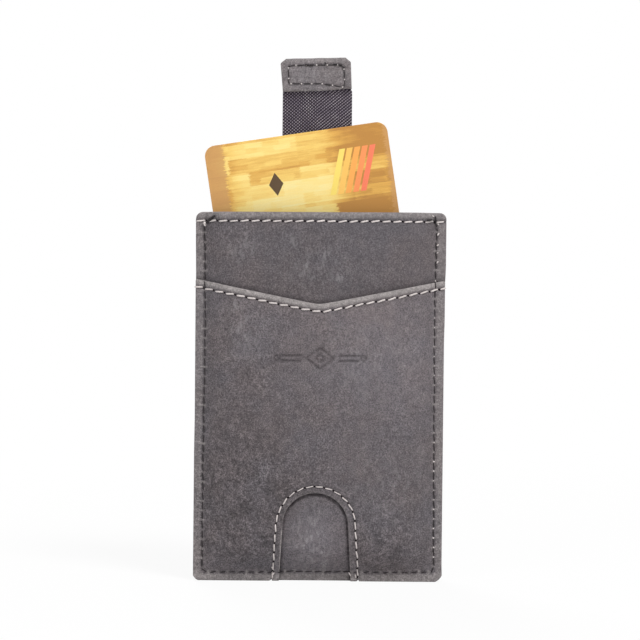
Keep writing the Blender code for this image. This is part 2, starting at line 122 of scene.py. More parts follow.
# The strap
STRAP_X = -1.1
WEBBING_WIDTH = 20.4
WEBBING_THICKNESS = 0.9
FOLD_Z = 24.0
CARD_Y = SEAM_Y + 0.02
TURN_RADIUS = 1.13
FRONT_RUN_STRAIGHT_TO = 30.667
ANCHOR_LOW = 64.0
ANCHOR_HIGH = 74.0
ANCHOR_INSET = 2.0
ANCHOR_Y = CARD_Y - 3.96
REAR_RUN_STRAIGHT_TO = 116.0
FRONT_RUN_FROM = FOLD_Z + 0.3
FRONT_STRETCH_FROM = FOLD_Z + 1.0
REAR_STRETCH_FROM = FOLD_Z + 0.6

# The leather tab
TAB_X = STRAP_X - 0.35
TAB_Y = CARD_Y + 2.94
TAB_Z = 143.8
REAR_STRETCH_TO = TAB_Z - 2.0
TAB_WIDTH = 20.8
TAB_HEIGHT = 9.5
TAB_LEATHER = 1.0
TAB_HALF_DEPTH = 1.6
TAB_CROWN = TAB_HEIGHT - TAB_HALF_DEPTH
TAB_LEAN = math.radians(1.8)

# The card
CARD_X = -1.12
CARD_Z = 88.5
CARD_WIDTH = 53.98
CARD_LENGTH = 85.6
CARD_THICKNESS = 0.76
CARD_RADIUS = 3.18
CARD_LEAN = math.radians(8.8)
CHIP_X = -3.1
CHIP_Z = -27.7
CHIP_WIDTH = 11.8
CHIP_HEIGHT = 13.0
CHIP_GAP = 0.22
CHIP_SUNK = 0.05
PAD_CORNER = 0.45
PAD_STAND, PAD_BEVEL = 0.03, 0.02
CHIP_CORNER = 1.2
CHIP_STAND, CHIP_BEVEL = 0.015, 0.01


# Plain geometry

def rise(share):
    """The swell's profile: 0 at the seam and 1 from the end of its run."""
    return 1 - (1 - np.clip(share, 0.0, 1.0)) ** SWELL_POWER


def dome(x, z):
    """How much of the full swell a place has."""
    return rise((SEAM_X - np.abs(x)) / SWELL_RUN) * rise((z - SEAM_INSET) / SWELL_RUN)


def v_edge(x):
    """The height of the pocket's upper edge."""
    slope = (POCKET_SIDE_HEIGHT - POCKET_VALLEY_HEIGHT) / HALF_WIDTH
    return POCKET_VALLEY_HEIGHT + slope * (np.hypot(x, VALLEY_ROUNDING) - VALLEY_ROUNDING)


def smoothstep(low, high, value):
    share = np.clip((value - low) / (high - low), 0.0, 1.0)
    return share * share * (3 - 2 * share)


def bell(value):
    """1 at zero, falling away smoothly on both sides."""
    return np.exp(-(value**2))


def arc(x, z, radius, start, end, steps=8):
    angles = np.radians(np.linspace(start, end, steps + 1))
    return [(x + radius * math.cos(a), z + radius * math.sin(a)) for a in angles]


def columns(*parts):
    """Points from their coordinates, each an array or one number."""
    return np.stack(np.broadcast_arrays(*parts), axis=-1)


def even_line(corners, spacing):
    """Points along a polyline at about even spacing, its corners among them."""
    points = [np.array(corners[0], float)]
    for start, end in zip(corners, corners[1:]):
        start, end = np.array(start, float), np.array(end, float)
        steps = max(1, round(np.linalg.norm(end - start) / spacing))
        points += [start + (end - start) * k / steps for k in range(1, steps + 1)]
    return np.array(points)


def line_distance(points, line):
    """Each point's distance to a polyline, and how far along it the nearest place is."""
    chunk = 1500
    starts, runs = line[:-1], np.diff(line, axis=0)
    lengths = np.maximum(np.linalg.norm(runs, axis=1), NEAR_ZERO)
    before = np.concatenate([[0.0], np.cumsum(lengths)[:-1]])
    best, along = np.zeros(len(points)), np.zeros(len(points))
    for first in range(0, len(points), chunk):
        part = points[first:first + chunk]
        to_x = part[:, :1] - starts[:, 0]
        to_z = part[:, 1:] - starts[:, 1]
        share = np.clip((to_x * runs[:, 0] + to_z * runs[:, 1]) / lengths**2, 0.0, 1.0)
        apart = np.hypot(to_x - share * runs[:, 0], to_z - share * runs[:, 1])
        nearest = apart.argmin(axis=1)
        rows = np.arange(len(part))
        best[first:first + chunk] = apart[rows, nearest]
        along[first:first + chunk] = before[nearest] + share[rows, nearest] * lengths[nearest]
    return best, along


def distance_to(line, points):
    return line_distance(points, line)[0]


def places_on(line, distances):
    """The places and directions at distances along a polyline."""
    runs = np.diff(line, axis=0)
    lengths = np.maximum(np.linalg.norm(runs, axis=1), NEAR_ZERO)
    before = np.concatenate([[0.0], np.cumsum(lengths)])
    distances = np.asarray(distances, float)
    segment = np.clip(np.searchsorted(before, distances, side="right") - 1, 0, len(runs) - 1)
    directions = runs[segment] / lengths[segment][:, None]
    return line[segment] + directions * (distances - before[segment])[:, None], directions


def inside_outline(points, outline):
    x, z = points.T
    inside = np.zeros(len(points), bool)
    for (x0, z0), (x1, z1) in zip(outline, np.roll(outline, -1, axis=0)):
        if z0 != z1:
            spans = (z0 > z) != (z1 > z)
            inside ^= spans & (x < (x1 - x0) * (z - z0) / (z1 - z0) + x0)
    return inside


def thinned(points, fixed, spacing):
    """Leave out each point that comes too near a fixed point or one already kept."""
    def cell(point):
        return math.floor(point[0] / spacing), math.floor(point[1] / spacing)

    grid = {}
    for point in fixed:
        grid.setdefault(cell(point), []).append(point)
    kept = []
    for point in points:
        i, j = cell(point)
        near = [q for di in (-1, 0, 1) for dj in (-1, 0, 1) for q in grid.get((i + di, j + dj), ())]
        if all((point[0] - q[0]) ** 2 + (point[1] - q[1]) ** 2 > spacing * spacing for q in near):
            kept.append(point)
            grid.setdefault((i, j), []).append(point)
    return kept


def sideways(line):
    """The direction to the left of a polyline, at each of its points."""
    tangent = np.gradient(line, axis=0)
    tangent /= np.maximum(np.linalg.norm(tangent, axis=1), NEAR_ZERO)[:, None]
    return columns(-tangent[:, 1], tangent[:, 0])


def leaned(points, origin, angle):
    """From a leaning piece's own frame, with y through its thickness, to the case's."""
    x, y, z = np.asarray(points, float).T
    cos, sin = math.cos(angle), math.sin(angle)
    return columns(origin[0] + x * cos - z * sin, origin[1] + y, origin[2] + x * sin + z * cos)


# Meshes

def ring_quads(base, rings, around):
    """Quads between closed rings of points that follow each other."""
    quads = []
    for k in range(rings - 1):
        for j in range(around):
            a = base + k * around + j
            b = base + k * around + (j + 1) % around
            quads.append((a, b, b + around, a + around))
    return quads


def sheet_quads(wide, rows, order, rim_order):
    """Quads over one grid of points, under a second one behind it, and round the rim between them."""
    layer = wide * rows
    quads = []
    for row in range(rows - 1):
        for a in range(row * wide, row * wide + wide - 1):
            quads.append((a, a + 1, a + 1 + wide, a + wide))
            quads.append((layer + a + wide, layer + a + wide + 1, layer + a + 1, layer + a))
    rim = list(range(wide)) + [row * wide + wide - 1 for row in range(1, rows)]
    rim += [(rows - 1) * wide + k for k in range(wide - 2, -1, -1)]
    rim += [row * wide for row in range(rows - 2, 0, -1)]
    closing = [(b, a, a + layer, b + layer) for a, b in zip(rim, rim[1:] + rim[:1])]
    return ([tuple(quad[k] for k in order) for quad in quads]
            + [tuple(quad[k] for k in rim_order) for quad in closing])


def make_mesh(name, points, faces, material, smooth=True, attributes=None, uvs=None):
    """A mesh object from points in millimetres."""
    mesh = bpy.data.meshes.new(name)
    mesh.from_pydata((np.asarray(points, float) * METRES).tolist(), [], faces)
    mesh.polygons.foreach_set("use_smooth", [smooth] * len(mesh.polygons))
    for key, values in (attributes or {}).items():
        layer = mesh.attributes.new(key, "FLOAT", "POINT")
        layer.data.foreach_set("value", np.asarray(values, np.float32))
    if uvs is not None:
        layer = mesh.uv_layers.new(name="cloth")
        loops = np.zeros(len(mesh.loops), dtype=np.int32)
        mesh.loops.foreach_get("vertex_index", loops)
        layer.data.foreach_set("uv", np.asarray(uvs, np.float32)[loops].ravel())
    mesh.update()
    mesh.materials.append(material)
    made = bpy.data.objects.new(name, mesh)
    bpy.context.scene.collection.objects.link(made)
    return made


def hand_over(made, body, slot, *nodes):
    """Parent a piece to the body it rides on and hide the CAD nodes that it stands for; slot is not used.
    """
    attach(made, body)
    if nodes:
        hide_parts(*nodes)


# Node helpers

def colour(value):
    """A grey level, or a colour as it looks in 0 to 255, in the linear values that shaders take."""
    if isinstance(value, bpy.types.NodeSocket):
        return value
    if isinstance(value, float):
        return (value, value, value, 1.0)
    shares = [part / 255 for part in value]
    return (*(v / 12.92 if v <= 0.04045 else ((v + 0.055) / 1.055) ** 2.4 for v in shares), 1.0)


class Nodes:
    """A node tree with short names for what is added to it."""

    def __init__(self, tree):
        self.tree = tree

    def put(self, socket, value):
        if isinstance(value, bpy.types.NodeSocket):
            self.tree.links.new(value, socket)
        else:
            socket.default_value = value

    def add(self, kind, settings=None, **inputs):
        """A node; an input is named by its label, with _ for a space, or as i and its number."""
        made = self.tree.nodes.new("ShaderNode" + kind)
        for key, value in (settings or {}).items():
            setattr(made, key, value)
        for key, value in inputs.items():
            by_number = key[0] == "i" and key[1:].isdigit()
            self.put(made.inputs[int(key[1:]) if by_number else key.replace("_", " ")], value)
        return made

    def maths(self, operation, a, b=0.0, clamp=False):
        return self.add("Math", {"operation": operation, "use_clamp": clamp}, i0=a, i1=b).outputs[0]

    def times(self, a, b, clamp=False):
        return self.maths("MULTIPLY", a, b, clamp)

    def plus(self, a, b, clamp=False):
        return self.maths("ADD", a, b, clamp)

    def within(self, value, low, high):
        return self.times(self.maths("GREATER_THAN", value, low), self.maths("LESS_THAN", value, high))

    def apart(self, value, middle):
        return self.maths("ABSOLUTE", self.maths("SUBTRACT", value, middle))

    def near(self, value, middle, reach):
        return self.maths("LESS_THAN", self.apart(value, middle), reach)

    def mixed(self, share, a, b, blend="MIX"):
        settings = {"data_type": "RGBA", "blend_type": blend}
        return self.add("Mix", settings, i0=share, i6=colour(a), i7=colour(b)).outputs[2]

    def toned(self, a, b, share=1.0):
        """Colour a multiplied by colour b, in full or by a share."""
        return self.mixed(share, a, b, "MULTIPLY")

    def ramp(self, value, *stops, smooth=False):
        made = self.add("ValToRGB", Fac=value)
        made.color_ramp.interpolation = "EASE" if smooth else "LINEAR"
        elements = made.color_ramp.elements
        while len(elements) < len(stops):
            elements.new(0.5)
        for element, (place, level) in zip(elements, stops):
            element.position = place
            element.color = colour(level)
        return made.outputs["Color"]

    def noise(self, vector, scale, detail=3.0, roughness=0.55):
        return self.add("TexNoise", Vector=vector, Scale=scale, Detail=detail,
                        Roughness=roughness).outputs["Fac"]

    def wave(self, vector, direction, scale, **inputs):
        return self.add("TexWave", {"bands_direction": direction}, Vector=vector, Scale=scale,
                        **inputs).outputs["Fac"]

    def stretched(self, vector, scale, rotation=(0.0, 0.0, 0.0)):
        return self.add("Mapping", Vector=vector, Scale=scale, Rotation=rotation).outputs[0]

    def attribute(self, name):
        return self.add("Attribute", {"attribute_name": name}).outputs["Fac"]

    def place(self):
        return self.add("TexCoord").outputs["Object"]

    def cloth_uv(self):
        return self.add("UVMap", {"uv_map": "cloth"}).outputs[0]


class Paint(Nodes):
    """A new material."""

    def __init__(self, name):
        self.made = bpy.data.materials.new(name)
        self.made.use_nodes = True
        super().__init__(self.made.node_tree)
        self.shader = self.tree.nodes["Principled BSDF"]

    def bump(self, height, distance, strength):
        made = self.add("Bump", Strength=strength, Distance=distance, Height=height)
        self.put(self.shader.inputs["Normal"], made.outputs["Normal"])

    def finish(self, base, **inputs):
        self.put(self.shader.inputs["Base Color"], base)
        for key, value in inputs.items():
            self.put(self.shader.inputs[key.replace("_", " ")], value)
        return self.made


# Materials

def leather_material():
    """Waxed nubuck: mottled and finely speckled, lighter where it is worn and where highlights are painted
    on lit edges, and darkened by painted shade in its grooves and where one layer shades another.
    """
    paint = Paint("grey_leather_looks")
    place = paint.place()
    clouds = paint.noise(place, 70.0, 2.0)
    blotches = paint.noise(place, 240.0, 2.0)
    mottle = paint.noise(place, 330.0, 4.0, 0.6)
    middling = paint.noise(place, 1000.0, 3.0, 0.6)
    speckle = paint.noise(place, 2500.0, 3.0, 0.8)
    grain = paint.noise(place, 4200.0, 2.0, 0.6)
    patches = paint.ramp(middling, (0.3, 0.56), (0.5, 0.98), (0.7, 1.47))
    specks = paint.ramp(speckle, (0.27, 0.03), (0.5, 0.95), (0.73, 2.3))
    coarse = paint.attribute("coarse")

    base = paint.ramp(mottle, (0.3, (95, 90, 93)), (0.5, (103, 97, 100)), (0.7, (112, 106, 108)))
    base = paint.toned(base, paint.ramp(clouds, (0.35, (250, 252, 255)), (0.65, (255, 251, 249))))
    base = paint.toned(base, patches, paint.maths("POWER", coarse, 2.2))
    base = paint.toned(base, paint.ramp(blotches, (0.32, 0.8), (0.5, 1.0), (0.68, 1.22)),
                       paint.maths("POWER", coarse, 2.5))
    base = paint.toned(base, specks, paint.plus(paint.times(coarse, 0.6), 0.3, True))

    streaks = paint.noise(paint.stretched(place, (1.0, 1.0, 0.45), (0.0, 0.6, 0.0)), 900.0, 4.0, 0.75)
    scuffs = paint.times(paint.ramp(streaks, (0.48, 0.0), (0.62, 1.0)), paint.attribute("scuff"))
    base = paint.mixed(scuffs, base, (150, 146, 148))
    tone = paint.attribute("tone")
    base = paint.toned(base, paint.add("CombineColor", Red=tone, Green=tone, Blue=tone).outputs[0])

    # How much lighter the leather is drawn: where it is worn pale, and painted highlights on turned edges
    # and on the notch's lit cut edge.
    worn = paint.times(paint.attribute("wear_and_highlight"), paint.plus(paint.times(mottle, 1.1), 0.3), True)
    rubbed_and_lit = paint.toned((148, 142, 141), specks, paint.times(coarse, 0.7))
    base = paint.mixed(worn, base, paint.toned(rubbed_and_lit, patches, 0.6))
    # Painted shade: darker in stitch grooves and tooled lines, with painted shadows beside the notch's rim
    # and above the pocket's V edge.
    base = paint.mixed(paint.times(paint.attribute("painted_shade"), 0.9, True), base, (48, 42, 45))
    paint.bump(paint.plus(paint.times(speckle, 0.6), paint.times(grain, 0.4)), 0.00016, 0.55)
    return paint.finish(base, Roughness=paint.ramp(mottle, (0.3, 0.72), (0.7, 0.92)),
                        Specular_IOR_Level=0.32, Sheen_Weight=0.12, Sheen_Roughness=0.5)


def thread_material(name, dark, light, sheen):
    """Twisted thread: a painted highlight on each ply's crown and painted shade between the plies."""
    paint = Paint(name)
    place = paint.place()
    fibres = paint.noise(place, 5200.0, 2.0, 0.6)
    share = paint.plus(paint.times(paint.attribute("ply"), 0.6), paint.times(fibres, 0.5), True)
    patches = paint.ramp(paint.noise(place, 260.0, 2.0), (0.3, 0.86), (0.7, 1.06))
    paint.bump(fibres, 0.00006, 0.6)
    return paint.finish(paint.toned(paint.mixed(share, dark, light), patches), Roughness=0.78,
                        Sheen_Weight=sheen)


def weave_ground_material():
    """The dark ground of the webbing, with the fine twill of its back yarns."""
    paint = Paint("webbing_ground")
    uv = paint.cloth_uv()
    twill = paint.wave(uv, "X", 1.05, Distortion=0.4, Detail=1.0)
    share = paint.times(twill, paint.noise(uv, 9.0, 3.0, 0.7))
    paint.bump(share, 0.0001, 0.8)
    return paint.finish(paint.mixed(share, (30, 22, 31), (66, 56, 72)), Roughness=0.9)


def weave_yarn_material():
    """The pale slanted yarns of the webbing."""
    paint = Paint("webbing_yarn")
    place = paint.place()
    fibres = paint.noise(place, 6000.0, 2.0, 0.7)
    tint = paint.ramp(paint.noise(place, 330.0, 2.0), (0.3, (118, 107, 120)), (0.55, (144, 133, 143)),
                      (0.75, (172, 164, 168)))
    paint.bump(fibres, 0.00005, 0.6)
    return paint.finish(paint.toned(tint, paint.ramp(fibres, (0.3, 0.75), (0.7, 1.1))), Roughness=0.62,
                        Sheen_Weight=0.25)


def lining_material():
    """Fine plain-woven cloth."""
    paint = Paint("lining_weave")
    uv = paint.cloth_uv()
    weave = paint.times(paint.wave(uv, "X", 2.2), paint.wave(uv, "Y", 2.2))
    paint.bump(weave, 0.00008, 0.7)
    return paint.finish(paint.mixed(weave, (24, 23, 25), (48, 46, 50)), Roughness=0.88, Sheen_Weight=0.2)


def film_material():
    """Crinkled metallised film."""
    paint = Paint("crinkled_film")
    place = paint.place()
    paint.bump(paint.add("TexVoronoi", Vector=place, Scale=240.0).outputs["Distance"], 0.0002, 0.5)
    return paint.finish(paint.ramp(paint.noise(place, 900.0), (0.3, 0.52), (0.7, 0.72)), Metallic=1.0,
                        Roughness=0.34)


def speckled_material(name, scale, dark, light, **inputs):
    """One colour that varies a little from place to place."""
    paint = Paint(name)
    tone = paint.ramp(paint.noise(paint.place(), scale), (0.3, dark), (0.7, light))
    return paint.finish(tone, **inputs)


def satin(paint, uv, base):
    paint.bump(paint.noise(uv, 60.0, 2.0), 0.00002, 0.3)
    return paint.finish(base, Roughness=0.36, Coat_Weight=0.25, Coat_Roughness=0.25)


BAR_COLOURS = ((253, 224, 110), (252, 198, 98), (252, 172, 84), (251, 150, 88), (250, 128, 92))
BARS_FROM = -0.05
BAR_STEP = 0.225
BAR_WIDTH = 0.17


def slanted_bars(paint, across, along, base):
    """Five short bars side by side, and a small dark lozenge, as plain decoration."""
    slant = paint.plus(across, paint.times(along, -0.35))
    tall = paint.within(along, 2.35, 3.65)
    for k, bar in enumerate(BAR_COLOURS):
        start = BARS_FROM + k * BAR_STEP
        wide = paint.within(slant, start, start + BAR_WIDTH)
        base = paint.mixed(paint.times(wide, tall), base, bar)
    off = paint.plus(paint.times(paint.apart(across, -0.75), 1.6), paint.apart(along, 2.9))
    return paint.mixed(paint.maths("LESS_THAN", off, 0.34), base, (84, 60, 28))


def card_material():
    """Satin gold print in worn blocks and streaks, with brown ends. One UV unit is 10 mm."""
    paint = Paint("gold_print")
    uv = paint.cloth_uv()
    split = paint.add("SeparateXYZ", Vector=uv)
    across, along = split.outputs[0], split.outputs[1]
    fine_rows = paint.noise(paint.stretched(uv, (2.0, 14.0, 1.0)), 2.0, 4.0, 0.8)
    ragged = paint.maths("SUBTRACT", fine_rows, 0.5)
    shift = paint.add("CombineXYZ", X=paint.times(ragged, 0.5), Y=paint.times(ragged, 0.05)).outputs[0]
    warped = paint.add("VectorMath", {"operation": "ADD"}, i0=uv, i1=shift).outputs[0]
    tone = 0.0
    for width, height, gain in ((1.5, 0.42, 0.36), (0.5, 0.15, 0.14), (2.3, 1.1, 0.26)):
        blocks = paint.add("TexBrick", {"offset": 0.37}, Vector=warped, Color1=colour(0.0),
                           Color2=colour(1.0), Mortar=colour(0.5), Scale=1.0, Mortar_Size=0.0,
                           Brick_Width=width, Row_Height=height).outputs["Color"]
        tone = paint.plus(paint.times(blocks, gain), tone)
    strokes = paint.noise(paint.stretched(warped, (0.5, 6.0, 1.0)), 3.0, 4.0, 0.75)
    tone = paint.plus(tone, paint.times(strokes, 0.3))
    ends = paint.times(paint.apart(across, -0.5), 0.3)
    tone = paint.maths("SUBTRACT", tone, paint.ramp(ends, (0.3, 0.0), (0.72, 0.36), smooth=True))
    gold = paint.ramp(tone, (0.14, (190, 134, 58)), (0.3, (224, 170, 78)), (0.44, (246, 206, 110)),
                      (0.58, (254, 226, 138)), (0.85, (255, 237, 168)))
    out = paint.plus(paint.apart(across, 0.2), paint.times(ragged, 0.6))
    border = paint.maths("GREATER_THAN", out, 2.36)
    base = paint.mixed(paint.times(border, 0.85), gold, (203, 152, 90))
    base = slanted_bars(paint, across, along, base)
    dust = paint.ramp(paint.noise(uv, 40.0, 2.0), (0.3, 0.94), (0.7, 1.04))
    return satin(paint, uv, paint.toned(base, dust))


def card_back_material():
    """Plain gold with a dark stripe and a pale writing strip."""
    paint = Paint("gold_back")
    uv = paint.cloth_uv()
    across = paint.add("SeparateXYZ", Vector=uv).outputs[0]
    base = paint.ramp(paint.noise(uv, 1.6, 3.0, 0.6), (0.3, (208, 160, 82)), (0.7, (228, 184, 104)))
    base = paint.mixed(paint.near(across, 1.6, 0.62), base, (42, 34, 30))
    lines = paint.ramp(paint.wave(uv, "X", 3.0), (0.4, (226, 216, 196)), (0.6, (238, 230, 212)))
    return satin(paint, uv, paint.mixed(paint.near(across, -0.1, 0.42), base, lines))


def contact_material():
    paint = Paint("contact_gold")
    place = paint.place()
    paint.bump(paint.noise(place, 4000.0), 0.00001, 0.3)
    tone = paint.ramp(paint.noise(place, 800.0), (0.3, (222, 206, 166)), (0.7, (238, 224, 190)))
    return paint.finish(tone, Metallic=1.0, Roughness=0.28)


LEATHER_LOOKS = leather_material()
LIGHT_THREAD = thread_material("light_thread_looks", (188, 177, 175), (242, 234, 231), 0.2)
DARK_THREAD = thread_material("dark_thread_looks", (16, 12, 14), (44, 36, 39), 0.05)
WEAVE_GROUND = weave_ground_material()
WEAVE_YARN = weave_yarn_material()
LINING = lining_material()
FILM = film_material()
# The needle holes are small dark domes: their colour is painted shade standing in for each hole's hollow.
HOLE_SHADE = speckled_material("needle_hole", 2500.0, (20, 16, 18), (44, 38, 40), Roughness=1.0,
                         Specular_IOR_Level=0.0)
CARD_PRINT = card_material()
CARD_BACK = card_back_material()
CONTACTS = contact_material()
CONTACT_GROUND = speckled_material("contact_ground", 2000.0, (92, 72, 40), (112, 90, 54), Roughness=0.6)


# Outlines and rows, as (x, z)

LINE_STEP = 0.8
RIM_STEP = 2.0


def notch_line(growth=0.0, low=0.0):
    """The thumb notch from its right foot over the arch to its left foot."""
    foot = NOTCH_FOOT + growth
    arch = arc(NOTCH_X, NOTCH_SPRING, NOTCH_RADIUS + growth, 0, 180, 28)
    return [(NOTCH_X + foot, low)] + arch + [(NOTCH_X - foot, low)]


def v_line(start, end, count, drop=0.0):
    """The V edge, or a line a drop below it."""
    return [(x, float(v_edge(x)) - drop) for x in np.linspace(start, end, count)]


def cut_corner(x, size, start):
    """A lower corner, trimmed off nearly straight."""
    rounded = np.array(arc(x, size, size, start, start + 90))
    straight = np.linspace(rounded[0], rounded[-1], len(rounded))
    return (rounded + CUT_FLATNESS * (straight - rounded)).tolist()


def nick(x):
    """Where a row of stitches runs off the bottom edge it pulls a small notch into it."""
    return [(x - NICK_WIDTH / 2, 0.0), (x, NICK_HEIGHT), (x + NICK_WIDTH / 2, 0.0)]


def foot_outline(half_width, middle):
    """The bottom edge: its trimmed corners, its two nicks and what lies between them."""
    left = cut_corner(-half_width + CUT_LEFT, CUT_LEFT, 180)
    right = cut_corner(half_width - CUT_RIGHT, CUT_RIGHT, 270)
    return left + nick(NICK_LEFT) + middle + nick(NICK_RIGHT) + right


def whole_outline(half_width, shift):
    """A whole panel, anticlockwise from its lower left corner."""
    outline = foot_outline(half_width, [])
    for side, radius, start in ((1, MOUTH_CORNER_RIGHT, 0), (-1, MOUTH_CORNER_LEFT, 90)):
        outline += arc(side * (half_width - radius), CASE_HEIGHT - radius, radius, start, start + 90)
    return np.array(outline) + (shift, 0.0)


def pocket_outline():
    """The slip pocket with its thumb notch and V edge, anticlockwise from its lower left corner."""
    foot = foot_outline(HALF_WIDTH, notch_line()[::-1])
    top = v_line(HALF_WIDTH - POCKET_CORNER, POCKET_CORNER - HALF_WIDTH, 90)
    low = top[0][1] - POCKET_CORNER
    return np.array(foot + [(HALF_WIDTH, low)] + top + [(-HALF_WIDTH, low)]) + (POCKET_SHIFT, 0.0)


def perimeter_line():
    """Down the left side, along the bottom and up the right side."""
    top = MOUTH_ROW_Z - 0.9
    left = ((0.05, top), (0.48, 80.0), (0.52, 70.0), (0.25, 42.0))
    right = ((0.12, 32.0), (-0.03, 60.0), (-0.13, 74.0), (0.0, 87.0), (0.45, top - 1.0))
    line = [(offset - SEAM_X, z) for offset, z in left]
    line += arc(-SEAM_X + 0.08 + SEAM_CORNER, SEAM_FOOT_LEFT + SEAM_CORNER, SEAM_CORNER, 180, 270, 5)
    line += arc(SEAM_X + 0.35 - SEAM_CORNER, SEAM_FOOT_RIGHT + SEAM_CORNER, SEAM_CORNER, 270, 360, 5)
    return line + [(offset + SEAM_X, z) for offset, z in right]


def mouth_tilt(x):
    """The mouth's edge climbs a little from left to right."""
    return np.interp(x, [-HALF_WIDTH, HALF_WIDTH], MOUTH_TILT)


def skewed(points, pocket):
    """The layers aren't cut and laid dead square: each side edge stands a little off its plain place."""
    x, z = points.T
    if pocket:
        left = np.interp(z, [0.0, 38.0, 48.0, 88.0], [0.34, 0.38, 0.5, 0.46])
        right = np.interp(z, [2.0, 5.0, 70.0, 77.0, 88.0], [0.2, 0.1, 0.12, 0.26, 0.26])
    else:
        left = np.interp(z, [0.0, 90.0, 100.0, 108.0], [0.12, 0.18, 0.05, 0.02])
        right = np.interp(z, [0.0, 80.0, 92.0, 108.0], [-0.45, -0.3, 0.24, 0.24])
    shift = np.where(x < 0, left, right) * smoothstep(26.0, 35.0, np.abs(x))
    return columns(x + shift, z + mouth_tilt(x) * smoothstep(98.0, 107.0, z))


def row(line, pitch, first):
    """A row of stitches: its line, the pitch of its holes and how far along the first hole is."""
    length = float(np.linalg.norm(np.diff(line, axis=0), axis=1).sum())
    return {"line": line, "pitch": pitch, "first": first, "length": length}


def sewn_row(line, amount, seed, pitch, first):
    """A row as sewn: never quite straight."""
    line = even_line(line, LINE_STEP)
    _, along = line_distance(line, line)
    shift = amount * (np.sin(along * 0.37 + seed) + 0.6 * np.sin(along * 0.83 + 2.1 * seed))
    return row(line + shift[:, None] * sideways(line), pitch, first)


MOUTH_ROW = sewn_row([(-HALF_WIDTH + 0.2, MOUTH_ROW_Z - 0.34), (HALF_WIDTH + 0.4, MOUTH_ROW_Z - 0.08)],
                     0.05, 1.0, MOUTH_PITCH, 3.3)
BACK_MOUTH_ROW = sewn_row([(-HALF_WIDTH + 0.5, MOUTH_ROW_Z), (HALF_WIDTH - 0.5, MOUTH_ROW_Z)],
                          0.05, 5.0, MOUTH_PITCH, 2.1)
V_ROW = sewn_row(v_line(-HALF_WIDTH + 0.1, HALF_WIDTH + 0.3, 60, V_ROW_DROP), 0.05, 2.0, V_PITCH, 2.75)
NOTCH_ROW = sewn_row(notch_line(NOTCH_ROW_OFFSET, 0.7), 0.06, 3.0, NOTCH_PITCH, 0.55)
PERIMETER = sewn_row(perimeter_line(), 0.06, 4.0, DARK_PITCH, 0.0)

TURNED_MOUTH = even_line([(x, CASE_HEIGHT + mouth_tilt(x)) for x in (-HALF_WIDTH, HALF_WIDTH)], RIM_STEP)
TURNED_V = even_line(v_line(-HALF_WIDTH, HALF_WIDTH, 60), RIM_STEP)
NOTCH_RIM = even_line(notch_line(), 1.0)
NOTCH_AREA = np.array(notch_line())
NOTCH_SHADE = even_line(notch_line(-0.25)[:24], LINE_STEP)
# A painted highlight: the notch's left cut edge drawn pale where it catches the light.
NOTCH_HIGHLIGHT = even_line([(NOTCH_X - NOTCH_RADIUS - 0.3, 15.0), (NOTCH_X - NOTCH_FOOT, 1.0)], LINE_STEP)
SEWN_RIM = even_line([
    (-HALF_WIDTH, CASE_HEIGHT), (-HALF_WIDTH, CUT_LEFT), (-HALF_WIDTH + CUT_LEFT, 0.0),
    (HALF_WIDTH - CUT_RIGHT, 0.0), (HALF_WIDTH, CUT_RIGHT), (HALF_WIDTH, CASE_HEIGHT)], RIM_STEP)
ORNAMENT_PLACE = (0.3, 65.4)
LOZENGES = ((4.0, 3.0), (1.5, 1.1))


def ornament():
    """A lozenge inside a larger one between two pairs of bars, each pair ended by a small ring."""
    lines = [[(wide, 0), (0, tall), (-wide, 0), (0, -tall), (wide, 0)] for wide, tall in LOZENGES]
    for side in (-1, 1):
        lines += [[(side * 5.6, offset), (side * 11.2, offset)] for offset in (-0.75, 0.75)]
        lines.append([(side * 12.6 + a, b) for a, b in arc(0, 0, 0.75, 0, 360, 16)])
    return [np.array(line, float) + ORNAMENT_PLACE for line in lines]


ORNAMENT = ornament()


# Relief of a panel: what its outer face does over its plain height

GROOVE_WIDTH = 0.42
RIM_ROUNDING = 0.32
TURNED_ROUNDING = 0.62
HEM_SWELL = 0.2
HEM_RIPPLE = 0.03
PUCKER_HEIGHT = 0.24
PUCKER_REACH_OUT = 2.2
PUCKER_REACH_IN = 0.9
PUCKER_WIDTH_FOOT = 0.5
PUCKER_WIDTH_SIDE = 0.36
TOOLING_DEPTH = 0.3
TOOLING_REACH = (0.22, 0.5)
UNEVENNESS = 0.1
UNEVEN_REACH = (1.5, 8.0)
RIM_CLOSED = 0.75
RIM_LINE_DEPTH = 0.3
RIM_LINE = 0.05
RIM_CONTACT = 0.008


def roll(distance, radius):
    """How far a rounded edge drops, at a distance from it."""
    inward = np.clip(radius - distance, 0.0, radius)
    return radius - np.sqrt(np.maximum(radius**2 - inward**2, 0.0))


def groove(points, stitches, depth):
    """A row pulls the leather down along its line, most at the holes."""
    distance, along = line_distance(points, stitches["line"])
    pull = 0.45 + 0.55 * np.cos(math.pi * (along - stitches["first"]) / stitches["pitch"]) ** 2
    return -depth * pull * bell(distance / GROOVE_WIDTH)


def outside_seam(x, z):
    return (np.abs(x) > SEAM_X) | (z < SEAM_INSET)


def puckers(points):
    """The little ridges that run out from each hole of the perimeter seam, from 0 to 1."""
    distance, along = line_distance(points, PERIMETER["line"])
    count = (along - PERIMETER["first"]) / PERIMETER["pitch"]
    nearest = np.round(count)
    off = (count - nearest) * PERIMETER["pitch"]
    strength = 0.6 + 0.4 * np.sin(nearest * 2.4) * np.sin(nearest * 0.7 + 1.0)
    x, z = points.T
    reach = np.where(outside_seam(x, z), PUCKER_REACH_OUT, PUCKER_REACH_IN)
    width = np.where(z < SEAM_INSET + 1.5, PUCKER_WIDTH_FOOT, PUCKER_WIDTH_SIDE)
    return strength * bell(off / width) * (1 - smoothstep(0.4 * reach, reach, distance))


